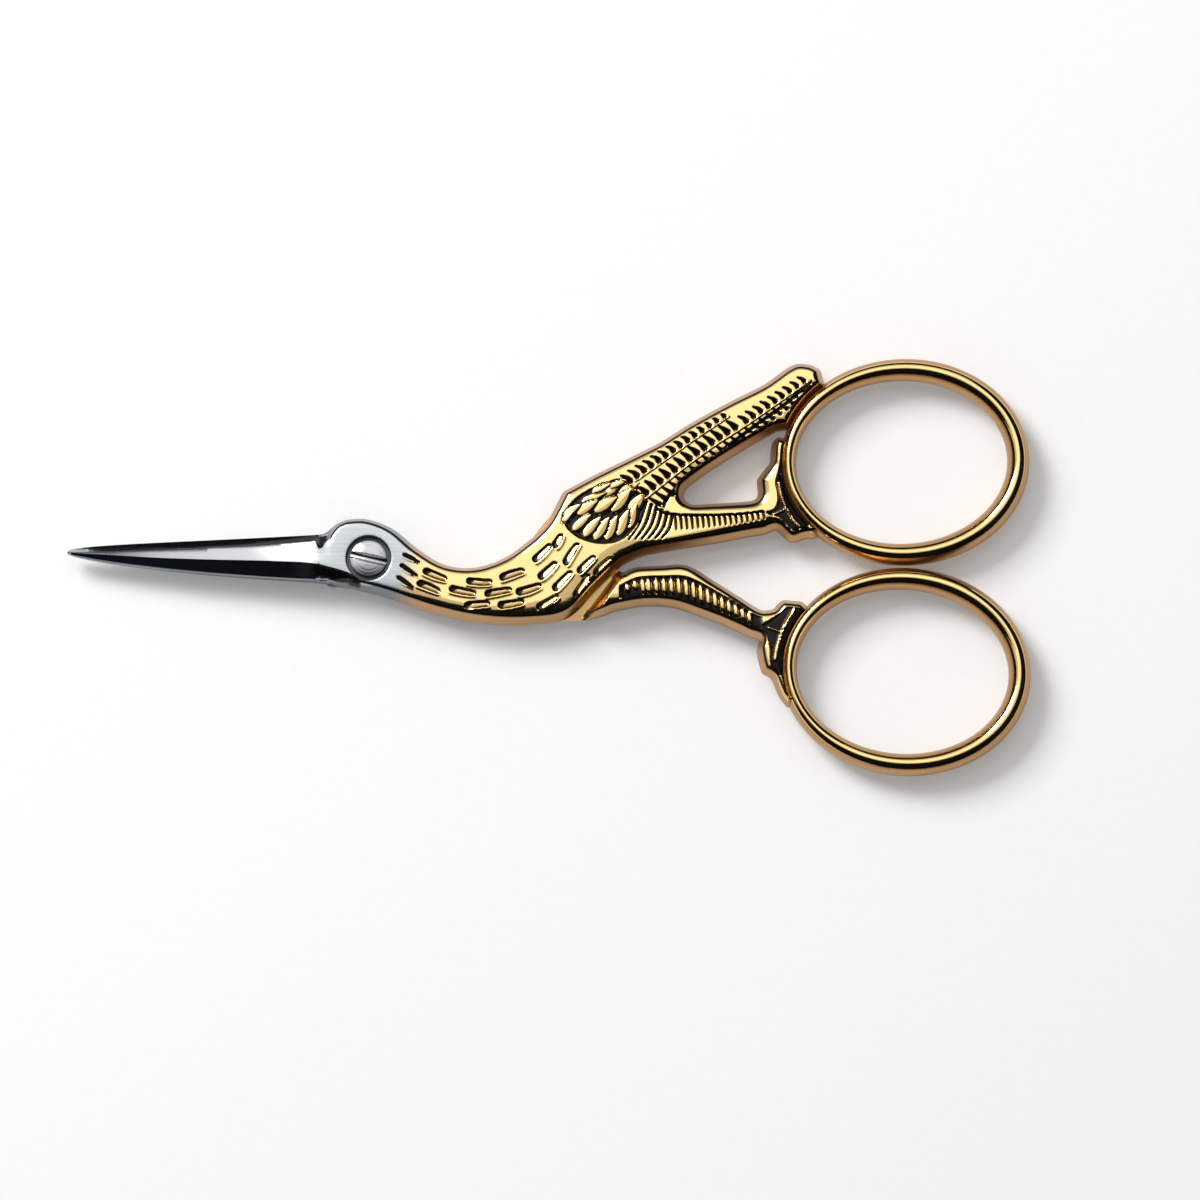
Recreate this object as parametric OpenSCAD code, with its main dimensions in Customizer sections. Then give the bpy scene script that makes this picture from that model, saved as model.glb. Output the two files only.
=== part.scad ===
// Embroidery scissors in the traditional stork pattern, closed, lying flat.
// The pivot axis is the Z axis. Blades point to -X, finger rings to +X, and the back
// half lies on the plane z = 0. Each half is one forging: the blade is the beak, the
// screw is the eye, and the neck, wing and leg carry the finger ring.

/* [Pivot] */
// Thickness of each half at the pivot
half_t = 2; // [1.6:0.05:2.4]
// Running gap between the flat inner faces of the two halves
face_gap = 0.06; // [0.04:0.01:0.12]
// Diameter of the screw's shank and tail
shank_d = 2.2; // [1.8:0.05:2.6]
// Radial play of the front half on the shank
shank_play = 0.04; // [0.02:0.01:0.08]
// Diameter of the screw head
head_d = 3.45; // [3:0.05:3.8]
// Thickness of the screw head at its rim
head_t = 0.75; // [0.6:0.05:0.95]
// Height of the dome on the screw head
head_dome = 0.12; // [0.05:0.01:0.2]
// Width of the seat sunk into the front half, less the head's own width
seat_margin = 0.75; // [0.5:0.05:0.9]
// Depth of the seat below the front face
seat_depth = 1; // [0.95:0.05:1.1]
// Width of the driver slot
slot_w = 0.7; // [0.5:0.05:0.9]
// Depth of the driver slot
slot_depth = 0.4; // [0.25:0.05:0.5]
// Turn of the driver slot away from the scissors' length
slot_turn = -13; // [-90:1:90]
// Width of the flat pad round the screw's tail
pad_d = 4.6; // [4:0.1:5]

/* [Blades] */
// Pivot axis to the blade tips
blade_l = 28.25; // [24:0.25:34]
// Height of the tips above the pivot's level
blade_rise = 0.85; // [0:0.05:1.5]
// Height of the closed blades' middle over the pivot's level, at the root
root_rise = 0.28; // [0:0.02:0.4]
// Spine to the middle of the closed blades, at the root
spine_reach = 2.55; // [2.2:0.05:2.8]
// Cutting edge to the middle of the closed blades, at the root
edge_reach = 1.85; // [1.6:0.05:2]
// Half width of a blade at its tip
tip_reach = 0.14; // [0.1:0.02:0.25]
// Thickness of a blade at its tip
tip_t = 0.4; // [0.3:0.05:0.7]
// Radius of the nick between the boss and the cutting edge
nick_r = 0.42; // [0.3:0.02:0.5]
// Pivot axis to the nick, along the blades
nick_back = 4.4; // [4.2:0.05:4.8]

/* [Neck and body] */
// Width across the boss
boss_w = 6.9; // [6.4:0.1:7.2]
// Width of the neck at its waist
neck_w = 4.75; // [4.2:0.05:5.4]
// Width of the stork's breast
breast_w = 8.9; // [8.2:0.1:9.4]
// Draft of the side walls, from the parting plane to the edge of the face
draft = 0.6; // [0.4:0.05:0.75]
// Height of the crown of the faces over their edges
crown = 0.35; // [0.2:0.05:0.5]
// Length of the sloped stop steps
step_l = 0.9; // [0.6:0.05:1.2]
// Gap at the stop steps and between the rings when closed
stop_gap = 0.14; // [0.1:0.01:0.25]

/* [Wing and legs] */
// Thickness of the wing and legs where they meet the rings
limb_t = 3.3; // [2.8:0.1:3.6]
// Width of the wing in its middle
wing_w = 4.85; // [4.4:0.05:5.2]
// Width of the front leg in its middle
front_leg_w = 3.8; // [3.4:0.05:4.1]
// Width of the back leg in its middle
back_leg_w = 4; // [3.4:0.05:4.4]

/* [Ornament] */
// Depth of the punched feather marks and ribs
mark_depth = 0.2; // [0.1:0.02:0.3]
// Length of a feather mark on the neck
feather_l = 2.2; // [1.6:0.1:2.6]
// Width of a feather mark on the neck
feather_w = 0.62; // [0.4:0.02:0.8]
// Distance from bar to bar on the wing
wing_pitch = 0.9; // [0.7:0.05:1.2]
// Turn of the wing's bars from the wing's own direction
feather_turn = 42; // [20:1:90]
// Distance from rib to rib on the front leg
front_rib_pitch = 0.75; // [0.5:0.05:1]
// Distance from rib to rib on the back leg
back_rib_pitch = 0.78; // [0.6:0.05:1.1]
// Turn of the legs' ribs from the scissors' length
rib_turn = 84; // [60:1:100]
// Length of a rib on the legs
rib_l = 1.7; // [1.2:0.1:2]
// Width of the groove of a rib or bar
rib_w = 0.42; // [0.3:0.02:0.6]
// Length of the oval shoulder patch
patch_l = 7.8; // [7:0.1:8.6]
// Width of the oval shoulder patch
patch_w = 5.1; // [4.4:0.1:5.6]

/* [Finger rings] */
// Pivot axis to the middle of the finger rings
ring_x = 49.9; // [47:0.1:54]
// Long opening of a finger ring
ring_l = 19.8; // [18:0.2:22]
// Short opening of a finger ring
ring_w = 15.5; // [14:0.2:17]
// Width of the ring's band above and below the opening
band_w = 2.1; // [1.7:0.05:2.5]
// Width of the ring's band beside the opening
band_side = 1.8; // [1.5:0.05:2.2]
// Shift of the ring's outside away from the pivot, which thins the near side
band_shift = 0.3; // [0:0.05:0.45]
// Thickness of the finger rings
ring_t = 3; // [2.6:0.1:3.4]
// Tilt of the upper finger ring
upper_tilt = 2; // [0:0.5:6]
// Tilt of the lower finger ring
lower_tilt = -4.2; // [-8:0.2:0]
// Level of the line on which the two rings meet
meet_y = -0.5; // [-1:0.05:0]

/* [Hidden] */
$fn = 48;

gold = "goldenrod";
steel = "lightsteelblue";

mid = half_t;
top = 2 * half_t;
seat_d = head_d + seat_margin;
seat_z = top - seat_depth;
head_lift = 0.03;

// Sections across a face, as shares of the face's width
across = [0, 0.12, 0.32, 0.5, 0.68, 0.88, 1];

// The middles of the two finger rings
function ring_extent(tilt) =
    norm([(ring_l / 2 + band_side) * sin(tilt), (ring_w / 2 + band_w) * cos(tilt)]);
upper_y = meet_y + stop_gap / 2 + ring_extent(upper_tilt);
lower_y = meet_y - stop_gap / 2 - ring_extent(lower_tilt);

// The bird is drawn on a grid with fifty steps from the pivot to the rings' middles
grid = ring_x / 50;
function drawn(x, y, w, lean) = [x * grid, y * grid, w, lean];
// Stations near a ring are held by the ring, as shares of its opening
function by_ring(y, along, up, w, lean) = [ring_x + along * ring_l, y + up * ring_w, w, lean];
// A station a stop step further on
function stepped(station, way, w, lean) =
    [station[0] + step_l * cos(way), station[1] + step_l * sin(way), w, lean];

// The stork's neck and breast, as stations along the forging. Each station holds the
// middle of the outline, the width, and the direction from the lower to the upper edge.
neck_stations = [
    drawn(-4.47, -0.48, 0.44 * boss_w, 93),
    drawn(-4, 0.08, 0.62 * boss_w, 92),
    drawn(-3.35, 0.58, 0.8 * boss_w, 91),
    drawn(-2.2, 0.72, 0.935 * boss_w, 90),
    drawn(-0.3, 0.55, boss_w, 89),
    drawn(2, -0.2, 0.957 * boss_w, 87),
    drawn(4.25, -1.55, 1.137 * neck_w, 82),
    drawn(6.85, -2.7, neck_w, 82),
    drawn(10.1, -3.2, 1.105 * neck_w, 92),
    drawn(13.75, -2.8, 0.753 * breast_w, 106),
    drawn(16.95, -1.55, 0.933 * breast_w, 113),
];
// The front half reaches through both layers past the line where the stop step ends.
stop_line = drawn(20.85, 2.95, 0.994 * breast_w, 125);
breast_stations = [
    drawn(19.2, 1.1, 0.978 * breast_w, 119),
    stop_line,
    stepped(stop_line, stop_line[3] - 90, breast_w, 124),
    drawn(23.4, 4.4, 1.022 * breast_w, 121.5),
    drawn(25.6, 5.2, 1.09 * breast_w, 115),
    drawn(28, 5.95, 1.145 * breast_w, 108),
];
// The back half turns down from the neck into its leg.
rump_stations = [
    drawn(18.7, -0.25, 1.112 * breast_w, 101),
    drawn(20.1, -0.95, breast_w, 96),
    drawn(21.45, -1.85, 0.798 * breast_w, 90),
    drawn(22.9, -2.9, 0.483 * breast_w, 80),
];
wing_stations = [
    drawn(22.2, 5.6, 1.155 * wing_w, 121),
    drawn(25.1, 7.1, 1.237 * wing_w, 117),
    drawn(27.9, 8.75, 1.05 * wing_w, 118),
    drawn(31.2, 10.95, wing_w, 119),
    drawn(34.75, 13.05, 0.96 * wing_w, 118),
    by_ring(upper_y, -0.606, 0.347, 0.907 * wing_w, 116),
    by_ring(upper_y, -0.475, 0.489, 0.763 * wing_w, 112),
    by_ring(upper_y, -0.399, 0.528, 0.454 * wing_w, 112),
];
front_leg_stations = [
    drawn(25.2, 3.4, 1.526 * front_leg_w, 100),
    drawn(28.75, 3.25, 1.13 * front_leg_w, 94),
    drawn(32.5, 3.6, front_leg_w, 90),
    by_ring(upper_y, -0.692, -0.343, 0.895 * front_leg_w, 90),
    by_ring(upper_y, -0.5505, -0.311, 0.947 * front_leg_w, 96),
];
back_stop = drawn(21.43, -3.08, 1.475 * back_leg_w, 50.5);
back_leg_stations = [
    back_stop,
    stepped(back_stop, back_stop[3] - 73, 1.35 * back_leg_w, 53),
    drawn(24, -2.65, 1.19 * back_leg_w, 64),
    drawn(26.5, -2.35, 1.05 * back_leg_w, 68),
    drawn(29.1, -2.4, 1.06 * back_leg_w, 71),
    drawn(31.7, -3.6, 0.9 * back_leg_w, 64),
    by_ring(lower_y, -0.803, 0.366, 0.775 * back_leg_w, 62),
    by_ring(lower_y, -0.692, 0.289, 0.7 * back_leg_w, 64),
    by_ring(lower_y, -0.5606, 0.215, 0.85 * back_leg_w, 70),
];

// The feather marks on the neck and breast, as the place along the stations, counted in
// stations, and the share across the face from its upper to its lower edge
neck_feathers = [
    [5.72, 0.76], [5.79, 0.48], [5.83, 0.2], [6.58, 0.66], [6.72, 0.24], [7.6, 0.52], [8, 0.81],
    [8.08, 0.26], [8.54, 0.51], [8.78, 0.8], [9, 0.24], [9.32, 0.58], [9.68, 0.86], [10, 0.42],
    [10.06, 0.18], [10.23, 0.68], [10.49, 0.95], [10.8, 0.55], [11, 0.84],
];
// The feathers laid over one another in the oval patch, from its middle, with the turn
patch_feathers = [
    [-2.5, 0.1, 35], [-1.2, -1.2, 30], [-1.1, 0.9, 40], [0.3, -0.3, 35], [0.4, 1.5, 40],
    [1.5, -1.2, 28], [1.9, 0.6, 33],
];
patch_middle = drawn(21.75, 4.35, 0, 12);

// The collars between limb and ring: angle on the ring and reach past its outside
upper_collar = [
    [229, 0.2], [223, 0.8], [221, 2], [218.5, 2.3], [208.8, 2.5], [193, 2.4],
    [188, 2.35], [184.4, 1.7], [180, 0.95], [170, 1], [163, 0.4],
];
lower_collar = [
    [204, 0.1], [194, 0.6], [184.4, 0.9], [181.6, 1.8], [176.4, 2.1], [171, 2.4],
    [156.6, 2.3], [148.2, 2.3], [145.2, 2.1], [142.6, 1.1], [138, 0.2],
];

function unit(a) = [cos(a), sin(a)];
function turned(p, a) = [p.x * cos(a) - p.y * sin(a), p.x * sin(a) + p.y * cos(a)];
function mix(a, b, t) = a + (b - a) * t;
function flat_list(lists) = [for (l = lists) for (v = l) v];

// A smooth curve through rows of numbers, with the given steps from row to row
function spline_at(a, b, c, d, t) =
    0.5 * (2 * b + (c - a) * t + (2 * a - 5 * b + 4 * c - d) * t * t
        + (3 * b - a - 3 * c + d) * t * t * t);
function smooth_rows(rows, steps) =
    let (n = len(rows))
    [
        for (i = [0 : n - 2])
            let (a = rows[max(i - 1, 0)], b = rows[i], c = rows[i + 1], d = rows[min(i + 2, n - 1)])
            for (s = [0 : steps - 1])
                spline_at(a, b, c, d, s / steps),
        rows[n - 1],
    ];

// One section of a forging. up and down are the reaches of its two faces from the
// parting plane: a face that lies on the other half has the small negative reach of
// half the running gap, and stays flat.
function face_reach(reach, v) = reach > 0 ? reach - crown * pow(2 * v - 1, 2) : reach;
function section(station, up, down) =
    let (
        c = [station[0], station[1]],
        w = station[2],
        d = unit(station[3]),
        upper = c + d * w / 2,
        lower = c - d * w / 2,
        inset = min(draft, w / 3),
        seam = mid + (down < 0 ? -down : 0) - (up < 0 ? -up : 0),
        face = [for (v = across) upper - d * (inset + v * (w - 2 * inset))]
    )
    [
        [upper.x, upper.y, seam],
        for (i = [0 : len(across) - 1])
            [face[i].x, face[i].y, mid + face_reach(up, across[i])],
        [lower.x, lower.y, seam],
        for (i = [len(across) - 1 : -1 : 0])
            [face[i].x, face[i].y, mid - face_reach(down, across[i])],
    ];

// A skin over sections whose points come as an edge point, the top row, the other
// edge point, and the bottom row backwards. The ends are closed by strips.
module skin(sections) {
    n = len(sections[0]);
    m = len(sections);
    half = n / 2;
    sides = [
        for (i = [0 : m - 2])
            for (j = [0 : n - 1])
                let (a = i * n + j, b = i * n + (j + 1) % n, c = b + n, d = a + n)
                for (f = [[a, c, b], [a, d, c]])
                    f
    ];
    ends = [
        for (e = [[0, 1], [(m - 1) * n, -1]])
            for (j = [0 : half - 1])
                let (
                    a = e[0] + j,
                    b = e[0] + j + 1,
                    c = e[0] + (n - j - 1) % n,
                    d = e[0] + (n - j) % n
                )
                for (f = [[a, c, b], [a, d, c]])
                    if (f[0] != f[1] && f[1] != f[2] && f[0] != f[2])
                        e[1] > 0 ? [f[2], f[1], f[0]] : f
    ];
    polyhedron(points = flat_list(sections), faces = concat(sides, ends), convexity = 8);
}

// A limb of a forging along its stations. reaches gives each station's two faces.
module limb(stations, reaches, steps) {
    rows = smooth_rows(stations, steps);
    last = len(stations) - 1;
    skin([
        for (i = [0 : len(rows) - 1])
            let (
                k = min(floor(i / steps), last - 1),
                t = i / steps - k,
                r = mix(reaches[k], reaches[k + 1], t)
            )
            section(rows[i], r[0], r[1])
    ]);
}

// One blade of the front half. The back half's blade is its mirror image.
blade_shares = [1, 0.97, for (u = [0.9 : -0.08 : 0.1]) u, 0.04, -0.02];
function blade_middle(u) = blade_rise * u * u + root_rise * pow(1 - u, 1.3);
function spine_at_share(u) = mix(tip_reach, spine_reach, pow(1 - u, 0.6));
function edge_at_share(u) = mix(tip_reach / 3, edge_reach, pow(1 - u, 0.95));
function crest_share(u) =
    lookup(u, [
        [0, 0.93], [0.05, 0.72], [0.08, 0.6], [0.12, 0.47], [0.17, 0.33], [0.22, 0.25], [0.35, 0.2],
        [0.7, 0.2], [1, 0.1],
    ]);
function blade_section(u) =
    let (
        x = -blade_l * u,
        y = blade_middle(u),
        spine = y - spine_at_share(u),
        edge = y + edge_at_share(u),
        crest = y - crest_share(u) * spine_at_share(u),
        crest_z = mix(half_t, tip_t, pow(max(u, 0), 0.8)),
        inner = face_gap / 2,
        land = min(0.22, edge_at_share(u) / 2)
    )
    [
        [x, edge, mid + inner],
        [x, edge - 0.01, mid + inner + 0.06],
        [x, edge - land, mid + mix(inner, crest_z, 0.62)],
        [x, crest, mid + crest_z],
        [x, mix(spine, crest, 0.06), mid + 0.66 * crest_z],
        [x, spine, mid + inner],
        [x, mix(spine, crest, 0.06), mid + inner],
        [x, crest, mid + inner],
        [x, edge - land, mid + inner],
        [x, edge - 0.01, mid + inner],
    ];
module front_blade() {
    skin([for (u = blade_shares) blade_section(u)]);
}

// A finger ring as a closed sweep of a domed, drafted band
function ring_inside(a) = [ring_l / 2 * cos(a), ring_w / 2 * sin(a)];
function ring_outside(a) =
    [band_shift + (ring_l / 2 + band_side) * cos(a), (ring_w / 2 + band_w) * sin(a)];
band_profile = [
    [0, 0], [0.06, 0.36], [0.17, 0.72], [0.33, 0.94], [0.5, 1], [0.67, 0.94], [0.83, 0.72],
    [0.94, 0.36], [1, 0], [0.94, -0.36], [0.83, -0.72], [0.67, -0.94], [0.5, -1], [0.33, -0.94],
    [0.17, -0.72], [0.06, -0.36],
];
function ring_section(a, tilt, y) =
    [
        for (p = band_profile)
            let (q = turned(mix(ring_inside(a), ring_outside(a), p[0]), tilt))
            [ring_x + q.x, y + q.y, mid + p[1] * ring_t / 2]
    ];
module finger_ring(tilt, y) {
    count = 44;
    n = len(band_profile);
    points = [for (i = [0 : count - 1]) for (p = ring_section(360 * i / count, tilt, y)) p];
    faces = [
        for (i = [0 : count - 1])
            for (j = [0 : n - 1])
                let (
                    a = i * n + j,
                    b = i * n + (j + 1) % n,
                    c = ((i + 1) % count) * n + (j + 1) % n,
                    d = ((i + 1) % count) * n + j
                )
                for (f = [[a, c, b], [a, d, c]])
                    f
    ];
    polyhedron(points = points, faces = faces, convexity = 8);
}

// The collar of a ring, from the middle of the band out to the reach in its list
module collar(rows, tilt, y) {
    skin([
        for (r = rows)
            let (
                a = r[0] - tilt,
                inner = mix(ring_inside(a), ring_outside(a), 0.45),
                outer = ring_outside(a) * (1 + r[1] / norm(ring_outside(a))),
                p = turned(inner, tilt) + [ring_x, y],
                q = turned(outer, tilt) + [ring_x, y],
                w = norm(q - p),
                m = (p + q) / 2
            )
            section([m.x, m.y, w, atan2(q.y - p.y, q.x - p.x)], ring_t / 2, ring_t / 2)
    ]);
}

thin = [half_t, -face_gap / 2];
under = [-face_gap / 2, half_t];
full = [half_t, half_t];
thick_end = [limb_t / 2, limb_t / 2];
function thinning(count) = [for (i = [0 : count - 1]) mix(full, thick_end, i / (count - 1))];

body_stations = concat(neck_stations, breast_stations);
body_end = mix(full, thick_end, 0.4);
body_reaches = concat([for (s = neck_stations) thin], [thin, thin, full, full, full, body_end]);
wing_reaches = thinning(len(wing_stations));
front_leg_reaches = thinning(len(front_leg_stations));
back_leg_reaches = concat([under], thinning(len(back_leg_stations) - 1));

module pan_head() {
    rotate_extrude()
        polygon([
            [0, 0],
            [head_d / 2, 0],
            [head_d / 2, head_t],
            for (a = [0.8, 0.6, 0.4, 0.2])
                [a * head_d / 2, head_t + head_dome * (1 - a * a)],
            [0, head_t + head_dome],
        ]);
}

// A groove as a pointed punch leaves it, long along X, sunk below the origin
module punch(l, w) {
    translate([0, 0, -mark_depth])
        scale([l / w, 1, 1])
            cylinder(r1 = 0, r2 = w, h = 2 * mark_depth, $fn = 6);
}

// Stands a punch on a limb's upper face. at is the place along the stations, share the
// place across the face, and turn is counted from the limb's own direction or, for what
// stands upright on the scissors, from the X axis.
module on_face(stations, reaches, at, share, turn, upright = false) {
    k = min(floor(at), len(stations) - 2);
    a = stations[max(k - 1, 0)];
    d = stations[min(k + 2, len(stations) - 1)];
    s = spline_at(a, stations[k], stations[k + 1], d, at - k);
    reach = mix(reaches[k], reaches[k + 1], at - k)[0];
    inset = min(draft, s[2] / 3);
    p = [s[0], s[1]] + unit(s[3]) * (s[2] / 2 - inset - share * (s[2] - 2 * inset));
    translate([p.x, p.y, mid + face_reach(reach, share)])
        rotate(upright ? turn : s[3] - 90 + turn)
            children();
}

module neck_marks() {
    for (f = neck_feathers)
        on_face(body_stations, body_reaches, f[0], f[1], 0)
            punch(feather_l, feather_w);
}

// The oval patch of small feathers on the shoulder, with its border line
module shoulder_patch() {
    translate([patch_middle[0], patch_middle[1], mid + half_t])
        rotate(patch_middle[3]) {
            scale([patch_l / patch_w, 1, 1])
                rotate_extrude($fn = 24)
                    translate([patch_w / 2, 0])
                        polygon([[-0.2, 0.05], [0, -0.3], [0.2, 0.05]]);
            for (f = patch_feathers)
                translate([f[0], f[1], -0.05])
                    rotate(f[2])
                        punch(feather_l, feather_w);
        }
}

// The flight feathers: teeth under the plain upper border, cross bars in the middle and
// bars along the lower edge, all leaning to the wing's tip
module feather_row(first, last, share, l) {
    run = norm([for (i = [0, 1]) wing_stations[6][i] - wing_stations[1][i]]) * (last - first) / 5;
    count = floor(run / wing_pitch);
    for (i = [0 : count - 1])
        on_face(wing_stations, wing_reaches, first + (last - first) * i / count, share, feather_turn)
            punch(l, rib_w);
}
// The line between two rows of feathers, as a chain of long shallow grooves
line_step = 0.38;
module feather_line(first, last, share) {
    for (at = [first : line_step : last])
        on_face(wing_stations, wing_reaches, at, share, 0)
            punch(0.5 * wing_w, rib_w / 2);
}
module wing_marks() {
    feather_line(1.6, 5.6, 0.4);
    feather_line(1.9, 5.6, 0.69);
    feather_row(1.5, 5.8, 0.27, 0.16 * wing_w);
    feather_row(1.25, 5.8, 0.53, 0.27 * wing_w);
    feather_row(2.15, 5.4, 0.86, 0.22 * wing_w);
}

module front_leg_ribs() {
    run = front_leg_stations[3][0] - front_leg_stations[0][0];
    ribs = floor(run / front_rib_pitch);
    for (i = [0 : ribs - 1])
        on_face(front_leg_stations, front_leg_reaches, 0.3 + 2.7 * i / ribs, 0.6, rib_turn, true)
            punch(rib_l, rib_w);
}

module back_leg_ribs() {
    run = back_leg_stations[7][0] - back_leg_stations[2][0];
    ribs = floor(run / back_rib_pitch);
    for (i = [0 : ribs - 1])
        on_face(back_leg_stations, back_leg_reaches, 1.9 + 5.1 * i / ribs, 0.55, rib_turn, true)
            punch(rib_l, rib_w);
}

module front_forging() {
    front_blade();
    limb(body_stations, body_reaches, 3);
    limb(wing_stations, wing_reaches, 2);
    limb(front_leg_stations, front_leg_reaches, 3);
    finger_ring(upper_tilt, upper_y);
    collar(upper_collar, upper_tilt, upper_y);
}

module back_forging() {
    translate([0, 0, 2 * mid])
        mirror([0, 0, 1])
            mirrored_blade();
    limb(
        concat(neck_stations, rump_stations),
        [for (s = concat(neck_stations, rump_stations)) under],
        3
    );
    limb(back_leg_stations, back_leg_reaches, 3);
    finger_ring(lower_tilt, lower_y);
    collar(lower_collar, lower_tilt, lower_y);
}

// The back blade lies the other way up, mirrored about the middle of the closed blades.
module mirrored_blade() {
    skin([
        for (i = [len(blade_shares) - 1 : -1 : 0])
            let (u = blade_shares[i])
            [for (p = blade_section(u)) [p.x, 2 * blade_middle(u) - p.y, p.z]]
    ]);
}

// The nick ends the cutting edge before the boss. The back half's is the mirror image.
nick_u = nick_back / blade_l;
nick_y = blade_middle(nick_u) + edge_at_share(nick_u) - 0.85 * nick_r;
module nick() {
    translate([-nick_back, nick_y, mid])
        cylinder(r = nick_r, h = half_t + 1, $fn = 16);
}
module mirrored_nick() {
    translate([-nick_back, 2 * blade_middle(nick_u) - nick_y, mid - half_t - 1])
        cylinder(r = nick_r, h = half_t + 1, $fn = 16);
}

module front_half() {
    color(gold)
        difference() {
            resize([0, 0, 0])
                difference() {
                    front_forging();
                    nick();
                    neck_marks();
                    shoulder_patch();
                    wing_marks();
                    front_leg_ribs();
                }
            translate([0, 0, mid - 1])
                cylinder(d = shank_d + 2 * shank_play, h = half_t + 1);
            translate([0, 0, seat_z])
                cylinder(d = seat_d, h = seat_depth + 1);
        }
}

module back_half() {
    color(gold)
        difference() {
            union() {
                resize([0, 0, 0])
                    difference() {
                        back_forging();
                        mirrored_nick();
                        back_leg_ribs();
                    }
                cylinder(d = pad_d, h = half_t / 2);
            }
            translate([0, 0, -1])
                cylinder(d = shank_d, h = top);
        }
}

module pivot_screw() {
    color(steel)
        difference() {
            union() {
                translate([0, 0, seat_z + head_lift])
                    pan_head();
                cylinder(d = shank_d, h = seat_z + head_lift + head_t / 2);
            }
            translate([0, 0, seat_z + head_lift + head_t + head_dome - slot_depth])
                rotate(slot_turn)
                    translate([-head_d, -slot_w / 2, 0])
                        cube([2 * head_d, slot_w, 1]);
        }
}

front_half();
back_half();
pivot_screw();
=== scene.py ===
"""Stork embroidery scissors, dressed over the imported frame.

Each half is one gilt forging: the blade is the beak, and the neck, wing and leg carry the finger
ring. The forged plates are laid out flat, raised to their drafted walls and crowned faces, and
then engraved. The rings, the screw, the lights and the floor follow. Sizes are in millimetres
until a piece is finished, when its mesh is brought to metres.
"""

import logging
import math
from dataclasses import dataclass, field
from enum import Enum, IntEnum
from functools import cached_property
from typing import Iterator, Sequence

import bmesh
import bpy
import numpy as np
from mathutils import Matrix, Vector, kdtree
from mathutils.geometry import delaunay_2d_cdt


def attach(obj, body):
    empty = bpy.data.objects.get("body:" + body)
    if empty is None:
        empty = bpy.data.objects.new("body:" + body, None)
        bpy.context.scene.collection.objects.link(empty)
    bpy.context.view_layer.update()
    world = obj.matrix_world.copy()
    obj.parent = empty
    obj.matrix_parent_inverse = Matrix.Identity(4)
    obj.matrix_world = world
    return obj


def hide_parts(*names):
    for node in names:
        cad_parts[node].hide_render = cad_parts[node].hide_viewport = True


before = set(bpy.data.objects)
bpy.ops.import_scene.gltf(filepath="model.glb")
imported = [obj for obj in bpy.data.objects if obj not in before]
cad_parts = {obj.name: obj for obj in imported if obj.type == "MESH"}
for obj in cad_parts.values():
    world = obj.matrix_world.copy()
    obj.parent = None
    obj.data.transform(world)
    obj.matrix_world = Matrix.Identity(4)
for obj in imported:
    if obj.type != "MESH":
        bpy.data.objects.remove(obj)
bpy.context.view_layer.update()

log = logging.getLogger("stork_scissors")
MM = 0.001
Points = np.ndarray

# Sizes shared by the pieces
HALF_T = 2.0
GAP = 0.06
MID = HALF_T
SHANK_D = 2.2
BORE_D = 2.28
HEAD_D = 3.45
SEAT_D = 4.2
SEAT_Z = 3.0
BLADE_L = 28.25
LIMB_T = 3.3
RING_X = 49.9
RING_T = 3.0


class Side(Enum):
    """The two halves of the scissors."""

    FRONT = 1
    BACK = -1


class Skin(IntEnum):
    """The surfaces of a forging, in the order of their finishes."""

    FACE = 0
    WALL = 1
    BLADE = 2
    SEAT = 3
    GROUND = 4
    CONTACT = 5


# Numbers and curves


def unit(angle: float) -> Points:
    """Returns the unit vector at an angle in degrees."""
    return np.array([math.cos(math.radians(angle)), math.sin(math.radians(angle))])


def smooth_step(t: Points) -> Points:
    """Eases a share from 0 to 1."""
    t = np.clip(t, 0.0, 1.0)
    return t * t * (3.0 - 2.0 * t)


def blend(a: Points, b: Points, t: Points) -> Points:
    """Mixes a and b by the share t."""
    return a + (b - a) * t


def soft_low(a: Points, b: Points, k: float) -> Points:
    """Returns the lower of two heights, rounded over k where they meet."""
    h = np.clip(0.5 + 0.5 * (b - a) / k, 0.0, 1.0)
    return blend(b, a, h) - k * h * (1.0 - h)


def run_of(line: Points) -> Points:
    """Returns how far along a line each of its points lies."""
    steps = np.linalg.norm(np.diff(line, axis=0), axis=1)
    return np.concatenate([[0], np.cumsum(steps)])


def at_run(line: Points, run: Points, place: float | Points) -> Points:
    """Returns what a line's columns are at a distance along it."""
    return np.array([np.interp(place, run, column) for column in line.T])


def walk(line: Points, start: float, pitch: float, stop: float, spare: float) -> Iterator[tuple[float, Points]]:
    """Walks along a line in even steps.

    Args:
        line: The points of the line.
        start: The distance of the first step.
        pitch: The distance between steps.
        stop: The distance before which the walk ends.
        spare: The length left free at the line's end.

    Yields:
        The distance and the spot of each step.
    """
    run = run_of(line)
    s = start
    while s < min(run[-1] - spare, stop):
        yield s, at_run(line, run, s)
        s += pitch


def circle_points(count: int) -> Points:
    """Returns points evenly round the unit circle."""
    angle = np.arange(count) * 2 * math.pi / count
    return np.stack([np.cos(angle), np.sin(angle)], axis=1)


def smooth_rows(rows: Sequence[Sequence[float]], steps: int = 12) -> Points:
    """Runs a smooth curve through rows of numbers.

    Args:
        rows: The rows that the curve passes through.
        steps: The number of steps from one row to the next.

    Returns:
        The rows of the curve.
    """
    r = np.array(rows, dtype=float)
    b = r[:-1]
    c = r[1:]
    a = np.vstack([r[:1], r[:-2]])
    d = np.vstack([r[2:], r[-1:]])
    out = []
    for s in range(steps):
        t = s / steps
        square = (2 * a - 5 * b + 4 * c - d) * t * t
        cube = (3 * b - a - 3 * c + d) * t ** 3
        out.append(0.5 * (2 * b + (c - a) * t + square + cube))
    mixed = np.stack(out, axis=1).reshape(-1, r.shape[1])
    return np.vstack([mixed, r[-1:]])


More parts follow.
